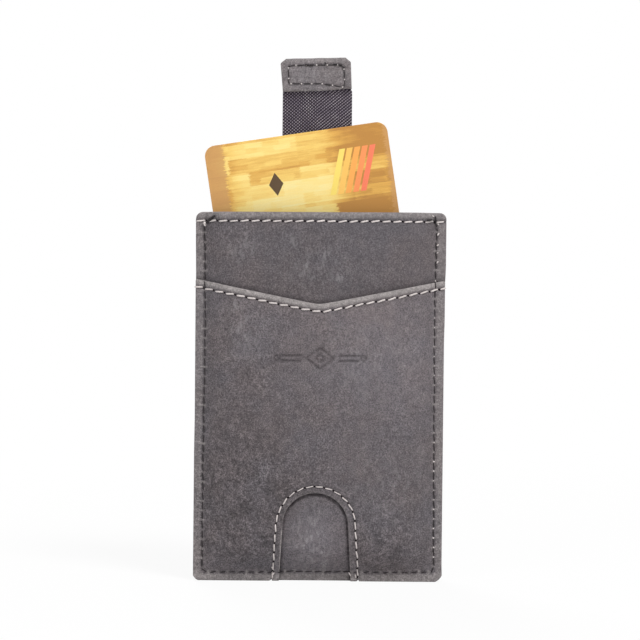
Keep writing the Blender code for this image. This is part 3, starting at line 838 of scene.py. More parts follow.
def tooling(points):
    """How deep the blind-tooled ornament is at a place, from 0 to 1."""
    distance = np.min([distance_to(line, points) for line in ORNAMENT], axis=0)
    return 1 - smoothstep(*TOOLING_REACH, distance)


def undulation(x, z, seed):
    return (np.sin(0.19 * x + 0.11 * z + seed) * np.sin(0.16 * z - 0.09 * x + 1.7 * seed)
            + 0.5 * np.sin(0.43 * x - 0.21 * z + 3.1 * seed))


def panel_relief(points, spec):
    """Heights over the panel's plain outer face."""
    x, z = points.T
    edge = distance_to(spec["rim"], points)
    height = -roll(edge, RIM_ROUNDING)
    for line, band, _ in spec["turned"]:
        distance, along = line_distance(points, line)
        height = np.minimum(height, -roll(distance, TURNED_ROUNDING))
        share = np.clip(distance / band, 0.0, 1.0)
        ripple = HEM_RIPPLE * np.sin(along * 0.9 + 1.0)
        height += HEM_SWELL * np.sin(math.pi * share) + ripple * (share < 1)
    for stitches, depth, _ in spec["rows"]:
        height += groove(points, stitches, depth)
    height += PUCKER_HEIGHT * puckers(points)
    if spec["ornament"]:
        height -= TOOLING_DEPTH * tooling(points)
    uneven = 1 + undulation(x, z, spec["seed"])
    return height + UNEVENNESS * uneven * dome(x, z) * smoothstep(*UNEVEN_REACH, edge)


def bend(points, spec):
    """How far the whole thickness is pressed in or out at the thumb notch."""
    z = points[:, 1]
    if spec["notch"] == "pressed":
        away = smoothstep(*NOTCH_PRESS_REACH, distance_to(NOTCH_RIM, points))
        return -NOTCH_PRESS * (1 - away) * smoothstep(*NOTCH_PRESS_RISE, z)
    if spec["notch"] == "bulging":
        inward = smoothstep(*NOTCH_BULGE_REACH, distance_to(NOTCH_RIM, points))
        share = np.where(inside_outline(points, NOTCH_AREA), inward, 0.0)
        return NOTCH_BULGE * share * smoothstep(*NOTCH_BULGE_RISE, z)
    return np.zeros(len(points))


def plain_height(points, spec):
    """How far the plain outer face stands from the seam plane."""
    swell = dome(*points.T)
    height = LEATHER_OUTER + SWELL[spec["side"]] * swell
    if spec["pocket"]:
        height += SLIP_GAP_AT_SEAM + (SLIP_GAP - SLIP_GAP_AT_SEAM) * swell + LEATHER
    return height


def panel_outer(points, spec):
    """Y of a panel's outer face."""
    height = plain_height(points, spec) + panel_relief(points, spec) + bend(points, spec)
    return SEAM_Y + spec["side"] * height


def panel_inner(points, spec):
    """Y of its inner face: near the sewn rim it closes on the layer behind, down to a fine line."""
    height = plain_height(points, spec) - LEATHER + bend(points, spec)
    edge = distance_to(SEWN_RIM, points)
    behind = LEATHER_OUTER if spec["pocket"] else 0.0
    closed = behind + np.where(edge < RIM_LINE_DEPTH, RIM_LINE, RIM_CONTACT)
    height = np.where(edge < RIM_CLOSED, np.minimum(height, closed), height)
    return SEAM_Y + spec["side"] * height


# Panels

EDGE_SPACING = 0.42
EDGE_LOOPS = ((0.07, 1), (0.2, 1), (0.36, 1), (0.62, 2), (1.0, 2))
ROW_LINES = (0.0, 0.28, -0.28, 0.56, -0.56, 0.9, -0.9, 1.3, -1.3)
TOOLED_LINES = (0.0, 0.2, -0.2, 0.36, -0.36, 0.52, -0.52)
ROW_SPACING = 0.3
TOOLED_SPACING = 0.2
GRID_STEP = 0.95
LOOP_MARGIN = 0.05
LOOP_APART = 0.055
REST_MARGIN = 0.5
REST_APART = 0.2


def panel_plan(spec):
    """The rim's points and those inside: dense at the edges and along the rows, sparse in the middle."""
    outline = spec["outline"]
    rim = skewed(even_line([*outline, outline[0]], EDGE_SPACING)[:-1], spec["pocket"])
    loop = np.vstack([rim, rim[:1]])

    def inner(seeds, margin):
        seeds = np.vstack(seeds)
        return seeds[(distance_to(loop, seeds) > margin) & inside_outline(seeds, rim)].tolist()

    def beside(line, spacing, offsets):
        dense = even_line(line, spacing)
        return [dense + offset * sideways(dense) for offset in offsets]

    near = [(loop + offset * sideways(loop))[::every] for offset, every in EDGE_LOOPS]
    rest = []
    for stitches, _, _ in spec["rows"]:
        rest += beside(stitches["line"], ROW_SPACING, ROW_LINES)
    for line in (ORNAMENT if spec["ornament"] else ()):
        rest += beside(line, TOOLED_SPACING, TOOLED_LINES)
    rest.append(np.array([
        (x + (0.5 * GRID_STEP if k % 2 else 0.0), z)
        for k, z in enumerate(np.arange(0.3, CASE_HEIGHT, GRID_STEP * 0.866))
        for x in np.arange(-HALF_WIDTH, HALF_WIDTH, GRID_STEP)]))
    kept = thinned(inner(near, LOOP_MARGIN), rim.tolist(), LOOP_APART)
    return rim, kept + thinned(inner(rest, REST_MARGIN), rim.tolist() + kept, REST_APART)


def panel(spec):
    """Triangulate the plan, lift it to both faces and close the rim."""
    rim, inside = panel_plan(spec)
    spec["rim"] = np.vstack([rim, rim[:1]])
    count = len(rim)
    flat = [Vector(p) for p in rim.tolist() + inside]
    closed = [(k, (k + 1) % count) for k in range(count)]
    plan, _, triangles, _, _, _ = delaunay_2d_cdt(flat, closed, [list(range(count))], 1, 1e-6)
    plan = np.array([tuple(p) for p in plan])
    number = len(plan)
    points = np.vstack([columns(plan[:, 0], face(plan, spec), plan[:, 1])
                        for face in (panel_outer, panel_inner)])
    faces, edges = [], []
    for triangle in triangles:
        a, b, c = triangle if spec["side"] == FRONT else reversed(triangle)
        faces += [(a, b, c), (c + number, b + number, a + number)]
        edges += [(a, b), (b, c), (c, a)]
    shared = set(edges)
    faces += [(b, a, a + number, b + number) for a, b in edges if (b, a) not in shared]
    made = make_mesh(spec["name"], points, faces, LEATHER_LOOKS, attributes=panel_paint(plan, spec))
    hand_over(made, "case", "grey_leather", spec["node"])
    return made


RIM_WEAR = 0.35
RIM_WEAR_REACH = 0.5
FOOT_WEAR = 0.75
SIDE_WEAR = 0.42
HEM_WEAR_REACH = (0.2, 0.9)
TOOLED_SHADE = 0.42
ROW_SHADE_WIDTH = 0.5
COARSENESS = 0.62


def lined(values, lines, plan):
    """The values, and over them soft lines given as (line, width, strength)."""
    for line, width, strength in lines:
        values = np.maximum(values, strength * bell(distance_to(line, plan) / width))
    return values


def blot(plan, x, z, wide, tall):
    """A soft round patch, 1 in its middle."""
    return np.exp(-(((plan[:, 0] - x) / wide) ** 2 + ((plan[:, 1] - z) / tall) ** 2))


def panel_paint(plan, spec):
    """Where the leather is worn, scuffed, lit by painted highlights or darkened by painted shade, and its
    tone, with some painted shading in it; the inner face takes the same values.
    """
    x, z = plan.T
    wear_and_highlight = RIM_WEAR * np.exp(-distance_to(spec["rim"], plan) / RIM_WEAR_REACH)
    # A turned edge is drawn lighter in a band: partly worn, partly a painted highlight where the fold
    # catches the light.
    for line, band, worn in spec["turned"]:
        wear_and_highlight = np.maximum(wear_and_highlight, worn * (1 - smoothstep(band * 0.35, band, distance_to(line, plan))))
    seam = distance_to(PERIMETER["line"], plan)
    hem_wear = np.where(z < SEAM_INSET, FOOT_WEAR, SIDE_WEAR) * smoothstep(*HEM_WEAR_REACH, seam)
    wear_and_highlight = np.maximum(wear_and_highlight, np.where(outside_seam(x, z), hem_wear, 0.0))
    wear_and_highlight = lined(np.maximum(wear_and_highlight, puckers(plan)), spec["pale"], plan)
    # Painted shade: the tooled lines, the stitch grooves and the painted shadow lines of the spec.
    painted_shade = TOOLED_SHADE * tooling(plan) if spec["ornament"] else np.zeros(len(plan))
    dark = [(stitches["line"], ROW_SHADE_WIDTH, shade) for stitches, _, shade in spec["rows"]]
    painted_shade = lined(painted_shade, dark + spec["shadows"], plan)
    tone = np.full(len(plan), spec["tone"])
    coarse = np.full(len(plan), COARSENESS)
    # Blotches of tone; on the pocket some are painted shading, darker to the lower left and lighter to the
    # upper right.
    for *place, spread, gain, rough in spec["stains_and_shading"]:
        share = blot(plan, *place, spread, spread)
        tone += gain * share
        coarse += rough * share
    scuff = np.zeros(len(plan))
    for *patch, gain in spec["scuffs"]:
        scuff = np.maximum(scuff, gain * blot(plan, *patch))
    paint = {"wear_and_highlight": wear_and_highlight, "painted_shade": painted_shade, "tone": tone, "scuff": scuff,
             "coarse": np.clip(coarse, 0.2, 1.0)}
    return {key: np.concatenate([values, values]) for key, values in paint.items()}


# Turned edges are (line, band, how much lighter: worn and painted highlight), rows (row, groove's depth,
# shade), lines painted pale as highlights and lines of painted shadow (line, width, strength), blotches of
# tone, some of them painted shading, as (x, z, spread, tone, coarseness) and scuffs (x, z, width, height,
# strength)
PLAIN = {"side": FRONT, "pocket": False, "ornament": False, "turned": [(TURNED_MOUTH, 2.5, 0.7)],
         "shadows": [], "pale": []}
FRONT_SPEC = {
    **PLAIN, "name": "upper_leather", "node": "front_panel", "notch": "bulging", "seed": 0.7, "tone": 0.84,
    "outline": whole_outline(HALF_WIDTH, UPPER_SHIFT),
    "rows": [(MOUTH_ROW, 0.3, 0.35), (PERIMETER, 0.12, 0.1)],
    "shadows": [(NOTCH_SHADE, 0.3, 1.1), (TURNED_V + [0.0, 0.25], 0.6, 0.35)],
    "stains_and_shading": [(0, 12, 9, 0.4, -0.15), (28, 98, 18, 0.05, -0.22), (-4, 92, 14, -0.04, 0.0),
               (-30, 100, 10, 0.08, 0.1)],
    "scuffs": [(-4, 92, 1.2, 2.0, 1.0), (2, 95, 2.0, 2.0, 0.8), (5.3, 88.8, 2.2, 1.6, 0.8),
               (-2.3, 88, 0.7, 3, 0.8), (-8, 99, 4, 2, 0.6), (-22, 97, 6, 4, 0.45), (0, 92, 12, 8, 0.4),
               (-0.8, 16, 1.4, 7, 0.7), (1.6, 7, 1.6, 5, 0.75), (-3, 12, 5, 9, 0.5)],
}
POCKET_SPEC = {
    **PLAIN, "name": "pocket_leather", "node": "pocket_panel", "notch": "pressed", "seed": 1.9,
    "tone": 0.96, "pocket": True, "ornament": True, "outline": pocket_outline(),
    "turned": [(TURNED_V, 2.1, 1.22)],
    "rows": [(V_ROW, 0.3, 0.35), (NOTCH_ROW, 0.28, 0.35), (PERIMETER, 0.14, 0.1)],
    "pale": [(NOTCH_HIGHLIGHT, 0.28, 1.4)],
    # Painted shading among these: darker towards the lower left and lighter towards the upper right.
    "stains_and_shading": [(-20, 22, 20, -0.23, 0.55), (-24, 55, 16, -0.08, 0.1), (16, 74, 20, 0.2, -0.1),
               (24, 36, 16, -0.04, 0.0), (20, 10, 14, -0.08, 0.3), (-24, 74, 12, 0.02, 0.1),
               (28, 60, 16, 0.1, 0.0)],
    "scuffs": [(-24.4, 80, 1.0, 2.4, 0.9), (-22, 73, 6, 8, 0.4), (20, 30, 12, 12, 0.3),
               (10, 66, 16, 14, 0.25), (-12.2, 6, 0.5, 6, 0.7), (11, 4, 0.6, 5, 0.6)],
}
BACK_SPEC = {
    **PLAIN, "name": "back_leather", "node": "back_panel", "notch": "none", "seed": 3.3, "tone": 0.98,
    "side": BACK, "outline": whole_outline(HALF_WIDTH - BACK_NARROWER, 0.0),
    "rows": [(BACK_MOUTH_ROW, 0.3, 0.35), (PERIMETER, 0.12, 0.1)],
    "stains_and_shading": [(-16, 30, 20, -0.14, 0.1), (18, 80, 22, 0.1, -0.1), (4, 56, 16, 0.06, 0.0)],
    "scuffs": [(12, 70, 14, 10, 0.4), (-14, 40, 12, 14, 0.3)],
}
LEATHERS = [panel(spec) for spec in (FRONT_SPEC, POCKET_SPEC, BACK_SPEC)]


# Stitches

PLY_DEPTH = 0.14
FLATTENED = 0.85
SPOT_RINGS = ((1.0, -0.5), (0.96, 0.25), (0.55, 0.85))
OUT = {side: np.array([0.0, side, 0.0]) for side in (FRONT, BACK)}
EDGE_OVERLAP = 0.15
NOTCH_LEGS_TO = 12.0

# Shared by every row: how its holes and stitches lie and vary
STITCH_POINTS = 9
LEAST_STITCH = 0.5
LEVEL_FROM = 0.7
LEVEL_THINNER = 0.82
SLANT_SCATTER = 0.35
LIFT_SCATTER = 0.2
RADIUS_SCATTER = 0.08
LAST_HOLE = 0.3
HOLE_SCATTER = 0.08
HOLE_NARROWER = 0.62
HOLE_FROM_RIM = 0.3
HOLE_LIFT = 0.06
HOLE_DEPTH = 0.05


class Collected:
    """Many small forms in one mesh: twisted lengths of thread, dark domes painted as the shade in needle
    holes, specks of thread.
    """

    def __init__(self):
        self.points, self.faces, self.ply = [], [], []

    def thread(self, path, normal, radii, plies=3, around=9, turns=0.55):
        """A length along path, with its radius at each point, flattened a little against the leather."""
        base, path = len(self.points), np.asarray(path, float)
        tangent = np.gradient(path, axis=0)
        tangent /= np.linalg.norm(tangent, axis=1)[:, None]
        side = np.cross(tangent, normal)
        side /= np.linalg.norm(side, axis=1)[:, None]
        up = np.cross(side, tangent)
        steps = np.linalg.norm(np.diff(path, axis=0), axis=1)
        travelled = np.concatenate([[0.0], np.cumsum(steps)])[:, None]
        angle = 2 * math.pi * np.arange(around) / around
        lobe = np.cos(plies * (angle - travelled * turns * 2 * math.pi))
        size = (np.asarray(radii)[:, None] * (1 + PLY_DEPTH * lobe))[..., None]
        out = np.cos(angle)[:, None] * side[:, None], FLATTENED * np.sin(angle)[:, None] * up[:, None]
        self.points += (path[:, None] + size * out[0] + size * out[1]).reshape(-1, 3).tolist()
        # ply runs from 0 between plies to 1 on a crown; the thread material paints highlight and shade
        # from it.
        self.ply += (0.5 + 0.5 * lobe).ravel().tolist()
        self.faces += ring_quads(base, len(path), around)
        last = base + (len(path) - 1) * around
        self.faces += [tuple(range(base + around - 1, base - 1, -1)), tuple(range(last, last + around))]

    def spot(self, centre, along, across, normal, long, wide, tall, around=10):
        """A small low dome."""
        base = len(self.points)
        for share, lift in SPOT_RINGS:
            for angle in 2 * math.pi * np.arange(around) / around:
                self.points.append(centre + along * long * share * math.cos(angle)
                                   + across * wide * share * math.sin(angle) + normal * tall * lift)
        self.points.append(centre + normal * tall)
        top = base + 2 * around
        self.faces += ring_quads(base, 3, around)
        self.faces += [(top + j, top + (j + 1) % around, top + around) for j in range(around)]
        self.faces.append(tuple(range(base + around - 1, base - 1, -1)))

    def make(self, name, material, body, slot, *nodes, ply=None):
        ply = self.ply if ply is None else [ply] * len(self.points)
        attributes = {"ply": ply} if ply else None
        made = make_mesh(name, self.points, self.faces, material, attributes=attributes)
        hand_over(made, body, slot, *nodes)


def on_surface(flats, surface, lifts, side):
    """Flat (x, z) places as 3-D points that stand off a surface by their lifts."""
    return columns(flats[:, 0], surface(flats) + side * lifts, flats[:, 1])


def upright(x, z):
    return np.array([x, 0.0, z])


def sew(stitches, surface, side, threads, holes, style, rng):
    """Stitches from hole to hole along a row that lies on surface(points)."""
    line, end = stitches["line"], stitches["length"]
    at_holes = np.arange(stitches["first"], end - LAST_HOLE, stitches["pitch"])
    at_holes = at_holes + np.array([HOLE_SCATTER * rng.uniform(-1, 1) for _ in at_holes])
    places, runs = places_on(line, at_holes)
    lying = (np.abs(runs[:, 0]) > LEVEL_FROM) & (np.abs(places[:, 0] - NOTCH_X) > NOTCH_FOOT)
    half_gap = np.where(lying, style["level_gap"], style["gap"]) / 2
    lows = np.concatenate([[0.0], at_holes + half_gap])
    highs = np.concatenate([at_holes - half_gap, [end]])
    whole = highs - lows > LEAST_STITCH
    starts, ends = places_on(line, lows[whole])[0], places_on(line, highs[whole])[0]
    count, share = len(starts), np.linspace(0, 1, STITCH_POINTS)
    across = (ends - starts) / np.linalg.norm(ends - starts, axis=1)[:, None]
    across = columns(-across[:, 1], across[:, 0])
    slant = np.array([style["slant"] * (1 + SLANT_SCATTER * rng.uniform(-1, 1)) for _ in range(count)])
    lift = np.array([style["lift"] * (1 + LIFT_SCATTER * rng.uniform(-1, 1)) for _ in range(count)])
    flats = starts[:, None] + (ends - starts)[:, None] * share[None, :, None]
    flats = flats + across[:, None] * slant[:, None, None] * (1 - 2 * share)[None, :, None]
    from_middle = np.abs(2 * share - 1)
    crown = lift[:, None] * (1 - from_middle**4) - style["sink"] * from_middle**6
    paths = on_surface(flats.reshape(-1, 2), surface, crown.ravel(), side).reshape(count, -1, 3)
    radii = style["radius"] * (1 - 0.3 * from_middle**5)
    run_x, run_z = np.abs(ends - starts).T
    thin = np.where((run_x > run_z) & (style["level_gap"] > style["gap"]), LEVEL_THINNER, 1.0)
    for path, thinner in zip(paths, thin):
        threads.thread(path, OUT[side], radii * thinner * (1 + RADIUS_SCATTER * rng.uniform(-1, 1)))
    # Each needle hole is a small dark dome, painted shade for its hollow.
    if style["hole"]:
        long, wide = style["hole"], style["hole"] * HOLE_NARROWER
        cos, sin = math.cos(style["hole_turn"]), math.sin(style["hole_turn"])
        whole = np.abs(places[:, 0]) < HALF_WIDTH - HOLE_FROM_RIM
        for centre, (x, z) in zip(on_surface(places[whole], surface, HOLE_LIFT, side), runs[whole]):
            along = upright(x * cos - z * sin, x * sin + z * cos)
            holes.spot(centre, along, upright(-along[2], along[0]), OUT[side], long, wide, HOLE_DEPTH)


def tack(marks, surface, threads, lift=0.0):
    """Single short stitches from (x, z) to (x, z) with a radius, as at a seam's ends."""
    share = np.linspace(0, 1, 7)
    from_middle = np.abs(2 * share - 1)
    for start, end, radius in marks:
        flats = np.array(start) + np.subtract(end, start) * share[:, None]
        path = on_surface(flats, surface, lift + radius * (1.0 - 0.8 * from_middle**4), FRONT)
        threads.thread(path, OUT[FRONT], radius * (1 - 0.6 * from_middle**6))


def level(y):
    """A surface that stands at one y."""
    return lambda points: np.full(len(points), y)


def face_of(spec):
    """A panel's outer face as a surface."""
    return lambda points: panel_outer(points, spec)


upper_face, pocket_face, back_face = map(face_of, (FRONT_SPEC, POCKET_SPEC, BACK_SPEC))


def front_face(points):
    """The outermost leather of the front: the pocket where it lies, the upper panel elsewhere."""
    x, z = points.T
    half = NOTCH_RADIUS + NOTCH_FLARE * np.clip(1 - z / NOTCH_SPRING, 0, 1)
    in_notch = (np.abs(x - NOTCH_X) < half - EDGE_OVERLAP) & (z < NOTCH_LEGS_TO)
    above = z > v_edge(x) + EDGE_OVERLAP
    return np.where(above | in_notch, upper_face(points), pocket_face(points))


LIGHT_STYLE = {"gap": 0.68, "level_gap": 0.68, "slant": -0.18, "radius": 0.245, "lift": 0.22, "sink": 0.3,
               "hole": 0.52, "hole_turn": -0.9}
NOTCH_STYLE = {**LIGHT_STYLE, "gap": 0.5, "slant": -0.12, "radius": 0.195, "lift": 0.18, "hole": 0.42}
DARK_STYLE = {"gap": 0.45, "level_gap": 1.2, "slant": -0.13, "radius": 0.165, "lift": 0.13, "sink": 0.1,
              "hole": 0.0}
TAB_STYLE = {"gap": 0.8, "level_gap": 0.8, "slant": 0.0, "radius": 0.135, "lift": 0.06, "sink": 0.2,
             "hole": 0.2, "hole_turn": 0.0}

# The ends of the threads at the upper corners, as (start, end, radius)
DARK_TACKS = [
    ((-30.6, 106.55), (-31.75, 105.8), 0.36), ((-31.6, 105.85), (-32.7, 105.0), 0.42),
    ((-32.6, 105.1), (-33.3, 104.3), 0.32), ((31.0, 105.75), (32.7, 106.0), 0.3),
    ((33.5, 107.0), (33.8, 106.1), 0.24), ((33.6, 106.2), (33.8, 105.0), 0.26),
    ((33.7, 105.0), (34.1, 103.8), 0.2), ((34.25, 88.1), (34.5, 88.0), 0.2),
]
NOTCH_TACKS = [
    ((-13.26, 4.29), (-12.58, 3.13), 0.17), ((-12.5, 2.55), (-12.9, 1.67), 0.17),
    ((9.3, 2.7), (9.85, 1.7), 0.16), ((11.2, 2.1), (11.4, 1.0), 0.16),
]
LIGHT_TACKS = [
    ((-33.85, 104.8), (-33.5, 103.55), 0.38), ((34.3, 101.4), (34.8, 102.2), 0.2),
    ((34.1, 98.4), (34.75, 98.8), 0.18), ((34.2, 96.2), (34.55, 96.5), 0.17),
    ((34.2, 93.3), (34.6, 93.9), 0.19), ((33.7, 88.15), (34.0, 88.0), 0.2),
    ((34.3, 104.9), (34.7, 104.5), 0.18), ((33.2, 106.9), (32.7, 107.2), 0.18),
]
LIGHT = (LIGHT_THREAD, "case", "light_thread")
DARK = (DARK_THREAD, "case", "dark_thread")


def stitching(side, seed, rows):
    """A side's rows of stitches, each its own mesh, and a mesh of dark domes painted as the shade in the
    needle holes; returns the draws.
    """
    rng = random.Random(seed)
    holes = Collected()
    for name, stands_for, stitches, surface, style, looks, tacks, on, lift in rows:
        threads = Collected()
        sew(stitches, surface, side, threads, holes, style, rng)
        tack(tacks, on, threads, lift)
        threads.make(name, *looks, stands_for)
    holes.make("needle_hole_shades_" + ("front" if side == FRONT else "back"), HOLE_SHADE, "case", "dark_thread")
    return rng


SPECKS_FROM, SPECKS_HALFWAY, SPECKS_TO = 6.0, 45.0, 84.0
LEAST_SPECK = 0.07
SPECK_HEIGHT = 0.16


def seam_specks(rng):
    """The lower thread of the side seam, seen as a light point in each hole on the right side."""
    specks = Collected()
    flats, _ = places_on(PERIMETER["line"], np.arange(0.0, PERIMETER["length"], PERIMETER["pitch"]))
    x, z = flats.T
    flats = flats[(x > SEAM_X - 1.0) & (z > SPECKS_FROM) & (z < SPECKS_TO)]
    for centre in on_surface(flats, front_face, 0.04, FRONT):
        size = rng.uniform(0.08, 0.2) if centre[2] < SPECKS_HALFWAY else rng.uniform(0.0, 0.14)
        if size > LEAST_SPECK:
            specks.spot(centre, upright(1.0, 0.0), upright(0.0, 1.0), OUT[FRONT], size * 1.3, size,
                        SPECK_HEIGHT)
    specks.make("seam_specks", *LIGHT, ply=0.8)


# Each row's name, its CAD node, the row, what it lies on, its style and looks, then its tacks, what they
# lie on and how far they stand off it
FRONT_ROWS = (
    ("mouth_stitches_front", "mouth_stitching_front", MOUTH_ROW, upper_face, LIGHT_STYLE, LIGHT,
     LIGHT_TACKS, upper_face, 0.0),
    ("pocket_edge_stitches", "pocket_edge_stitching", V_ROW, pocket_face, LIGHT_STYLE, LIGHT,
     [], pocket_face, 0.0),
    ("notch_stitches", "notch_stitching", NOTCH_ROW, pocket_face, NOTCH_STYLE, LIGHT,
     NOTCH_TACKS, pocket_face, 0.0),
    ("perimeter_stitches_front", "perimeter_stitching", PERIMETER, front_face, DARK_STYLE, DARK,
     DARK_TACKS, upper_face, 0.4),
)
BACK_ROWS = (
    ("mouth_stitches_back", "mouth_stitching_back", BACK_MOUTH_ROW, back_face, LIGHT_STYLE, LIGHT,
     [], back_face, 0.0),
    ("perimeter_stitches_back", "perimeter_bobbin_thread", PERIMETER, back_face, DARK_STYLE, DARK,
     [], back_face, 0.0),
)
seam_specks(stitching(FRONT, 11, FRONT_ROWS))
stitching(BACK, 12, BACK_ROWS)


# Linings and films

LINING_COLUMNS = 74
LINING_ROWS = 100
LINING_WAVE = 0.05
LINING_GAP = 0.02


def lining(name, side, node_name):
    """A thin cloth just inside the film, with the faint waves of cloth held only at its seams."""
    half, top = HALF_WIDTH - LINING_INSET, CASE_HEIGHT - LINING_INSET
    x, z = np.meshgrid(np.linspace(-half, half, LINING_COLUMNS),
                       np.linspace(LINING_INSET, top, LINING_ROWS))
    in_corner = LINING_CORNER - np.minimum(np.minimum(z - LINING_INSET, top - z), LINING_CORNER)
    cut = LINING_CORNER - np.sqrt(np.maximum(LINING_CORNER**2 - in_corner**2, 0.0))
    x = x * (half - cut) / half
    swell = dome(x, z)
    waves = LINING_WAVE * (1 + np.sin(0.5 * x + 0.2 * z) * np.sin(0.23 * z))
    points = []
    for layer in (waves * swell + LINING_GAP, LINING_THICKNESS):
        height = LINING_INNER + layer + SWELL[side] * swell
        points.append(columns(x, SEAM_Y + side * height, z).reshape(-1, 3))
    points = np.vstack(points)
    order = (0, 1, 2, 3) if side == BACK else (3, 2, 1, 0)
    faces = sheet_quads(LINING_COLUMNS, LINING_ROWS, order, order)
    made = make_mesh(name, points, faces, LINING, uvs=points[:, ::2])
    hand_over(made, "case", "lining_cloth", node_name)


lining("front_lining_cloth", FRONT, "front_lining")
lining("back_lining_cloth", BACK, "back_lining")
for film in ("front_shield_foil", "back_shield_foil"):
    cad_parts[film].data.materials.clear()
    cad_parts[film].data.materials.append(FILM)


# The strap

YARN_PITCH = 0.52
YARN_REPEAT = 0.93
YARN_CLIMB = 0.43
YARN_WIDTH = 0.185
YARN_HEIGHT = 0.16
YARN_RINGS = ((-1.0, 0.35, -0.4), (-0.45, 1.0, 0.75), (0.45, 1.0, 0.75), (1.0, 0.35, -0.4))
YARN_SECTION = ((-1.0, -0.6), (-0.6, 0.7), (0.6, 0.7), (1.0, -0.6))
GROUND = WEBBING_THICKNESS / 2 - 0.12
SELVEDGE = 0.25
SELVEDGE_THINNER = 0.35
WEBBING_COLUMNS = 22
# The lean and half length of a yarn on each half of the webbing
YARN_RIGHT = (0.75, 0.33)
YARN_LEFT = (1.05, 0.27)
DRAWN_IN = 0.05
DRAWN_IN_REACH = (TAB_Z - 0.5, TAB_Z + 1.5)
LEAN_FROM = TAB_Z - 6.0


def eased(start, end, steps=14):
    """A line from start to end that leaves and arrives upright."""
    shares = [k / steps for k in range(steps + 1)]
    return [(start[0] + (end[0] - start[0]) * float(smoothstep(0.0, 1.0, share)),
             start[1] + (end[1] - start[1]) * share) for share in shares]


def webbing_x(x, z):
    """Inside the tab the webbing leans with it and is drawn in a little."""
    in_tab = smoothstep(*DRAWN_IN_REACH, z)
    return STRAP_X + x * (1 - DRAWN_IN * in_tab) - in_tab * (z - LEAN_FROM) * math.sin(TAB_LEAN)


def webbing(name, corners, nodes, start, end):
    """A woven ribbon along a (y, z) path: a dark ground, and slanted yarns on each face."""
    path = even_line(corners, LINE_STEP)
    _, along = line_distance(path, path)
    normal = -sideways(path)
    half, flat = WEBBING_WIDTH / 2, WEBBING_WIDTH / 2 - SELVEDGE
    xs = np.concatenate([[-half], np.linspace(-flat, flat, WEBBING_COLUMNS), [half]])
    reach = np.where(np.abs(xs) >= half, SELVEDGE_THINNER, 1.0) * GROUND
    points = []
    for face in (-1, 1):
        y, z = (path[:, None] + normal[:, None] * (face * reach)[:, None]).T.swapaxes(1, 2)
        points.append(columns(webbing_x(xs, z), y, z).reshape(-1, 3))
    uvs = columns(*np.meshgrid(xs, along)).reshape(-1, 2)
    faces = sheet_quads(len(xs), len(path), (0, 3, 2, 1), (3, 2, 1, 0))
    ribbon = make_mesh(name, np.vstack(points), faces, WEAVE_GROUND, uvs=np.vstack([uvs, uvs]))
    yarns = yarn_floats(name + "_yarns", path, along, normal)
    start, end = (tuple(v * METRES for v in place) for place in (start, end))
    for piece in (ribbon, yarns):
        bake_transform(piece)
    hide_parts(*nodes)


def yarn_floats(name, path, along, normal):
    """Slanted yarns in columns, rising outwards on both halves, so that the ribs make a V."""
    outermost = int((WEBBING_WIDTH / 2 - 0.1) / YARN_PITCH)
    ring, wide, lift = np.repeat(YARN_RINGS, 4, axis=0).T
    a, b = np.tile(YARN_SECTION, (4, 1)).T
    up = (GROUND + YARN_HEIGHT * (lift + b * 0.5 * wide))[:, None]
    points, faces = [], []
    for face in (-1, 1):
        for column in range(-outermost, outermost + 1):
            lean, length = YARN_RIGHT if column >= 0 else YARN_LEFT
            run_x, run_v = math.cos(lean), math.sin(lean)
            dx = run_x * length * ring - run_v * YARN_WIDTH * wide * a
            dv = (run_v * length * ring + run_x * YARN_WIDTH * wide * a)[:, None]
            v = (abs(column) * YARN_CLIMB) % YARN_REPEAT
            while v < along[-1] - 0.2:
                k = min(int(np.searchsorted(along, v)), len(along) - 1)
                low = max(k - 1, 0)
                tangent = (path[k] - path[low]) / max(along[k] - along[low], 1e-6)
                centre = path[low] + tangent * (v - along[low])
                y, z = (centre + normal[k] * face * up + tangent * dv).T
                base = len(points)
                points += columns(webbing_x(column * YARN_PITCH + dx, z), y, z).tolist()
                quads = ring_quads(base, 4, 4)
                quads += [tuple(range(base + 3, base - 1, -1)), tuple(range(base + 12, base + 16))]
                faces += [quad[::face] for quad in quads]
                v += YARN_REPEAT
    return make_mesh(name, points, faces, WEAVE_YARN)


def strap():
    turn = [(CARD_Y + y, FOLD_Z + z) for y, z in arc(0.0, 0.0, TURN_RADIUS, 180, 360, 12)]
    rear = turn + eased((CARD_Y + TURN_RADIUS, REAR_RUN_STRAIGHT_TO), (TAB_Y, TAB_Z - TAB_LEATHER))
    rear.append((TAB_Y, TAB_Z + TAB_CROWN - WEBBING_WIDTH / 2 * math.sin(TAB_LEAN)))
    webbing("strap_rear_webbing", rear, ["strap_rear_run", "strap_fold"],
            (STRAP_X, CARD_Y, REAR_STRETCH_FROM), (STRAP_X, CARD_Y, REAR_STRETCH_TO))
    front = [(CARD_Y - TURN_RADIUS, FRONT_RUN_FROM)]
    front += eased((CARD_Y - TURN_RADIUS, FRONT_RUN_STRAIGHT_TO), (ANCHOR_Y, ANCHOR_LOW))
    front.append((ANCHOR_Y, ANCHOR_HIGH))
    webbing("strap_front_webbing", front, ["strap_front_run"],
            (STRAP_X, CARD_Y, FRONT_STRETCH_FROM), (STRAP_X, CARD_Y, ANCHOR_LOW))


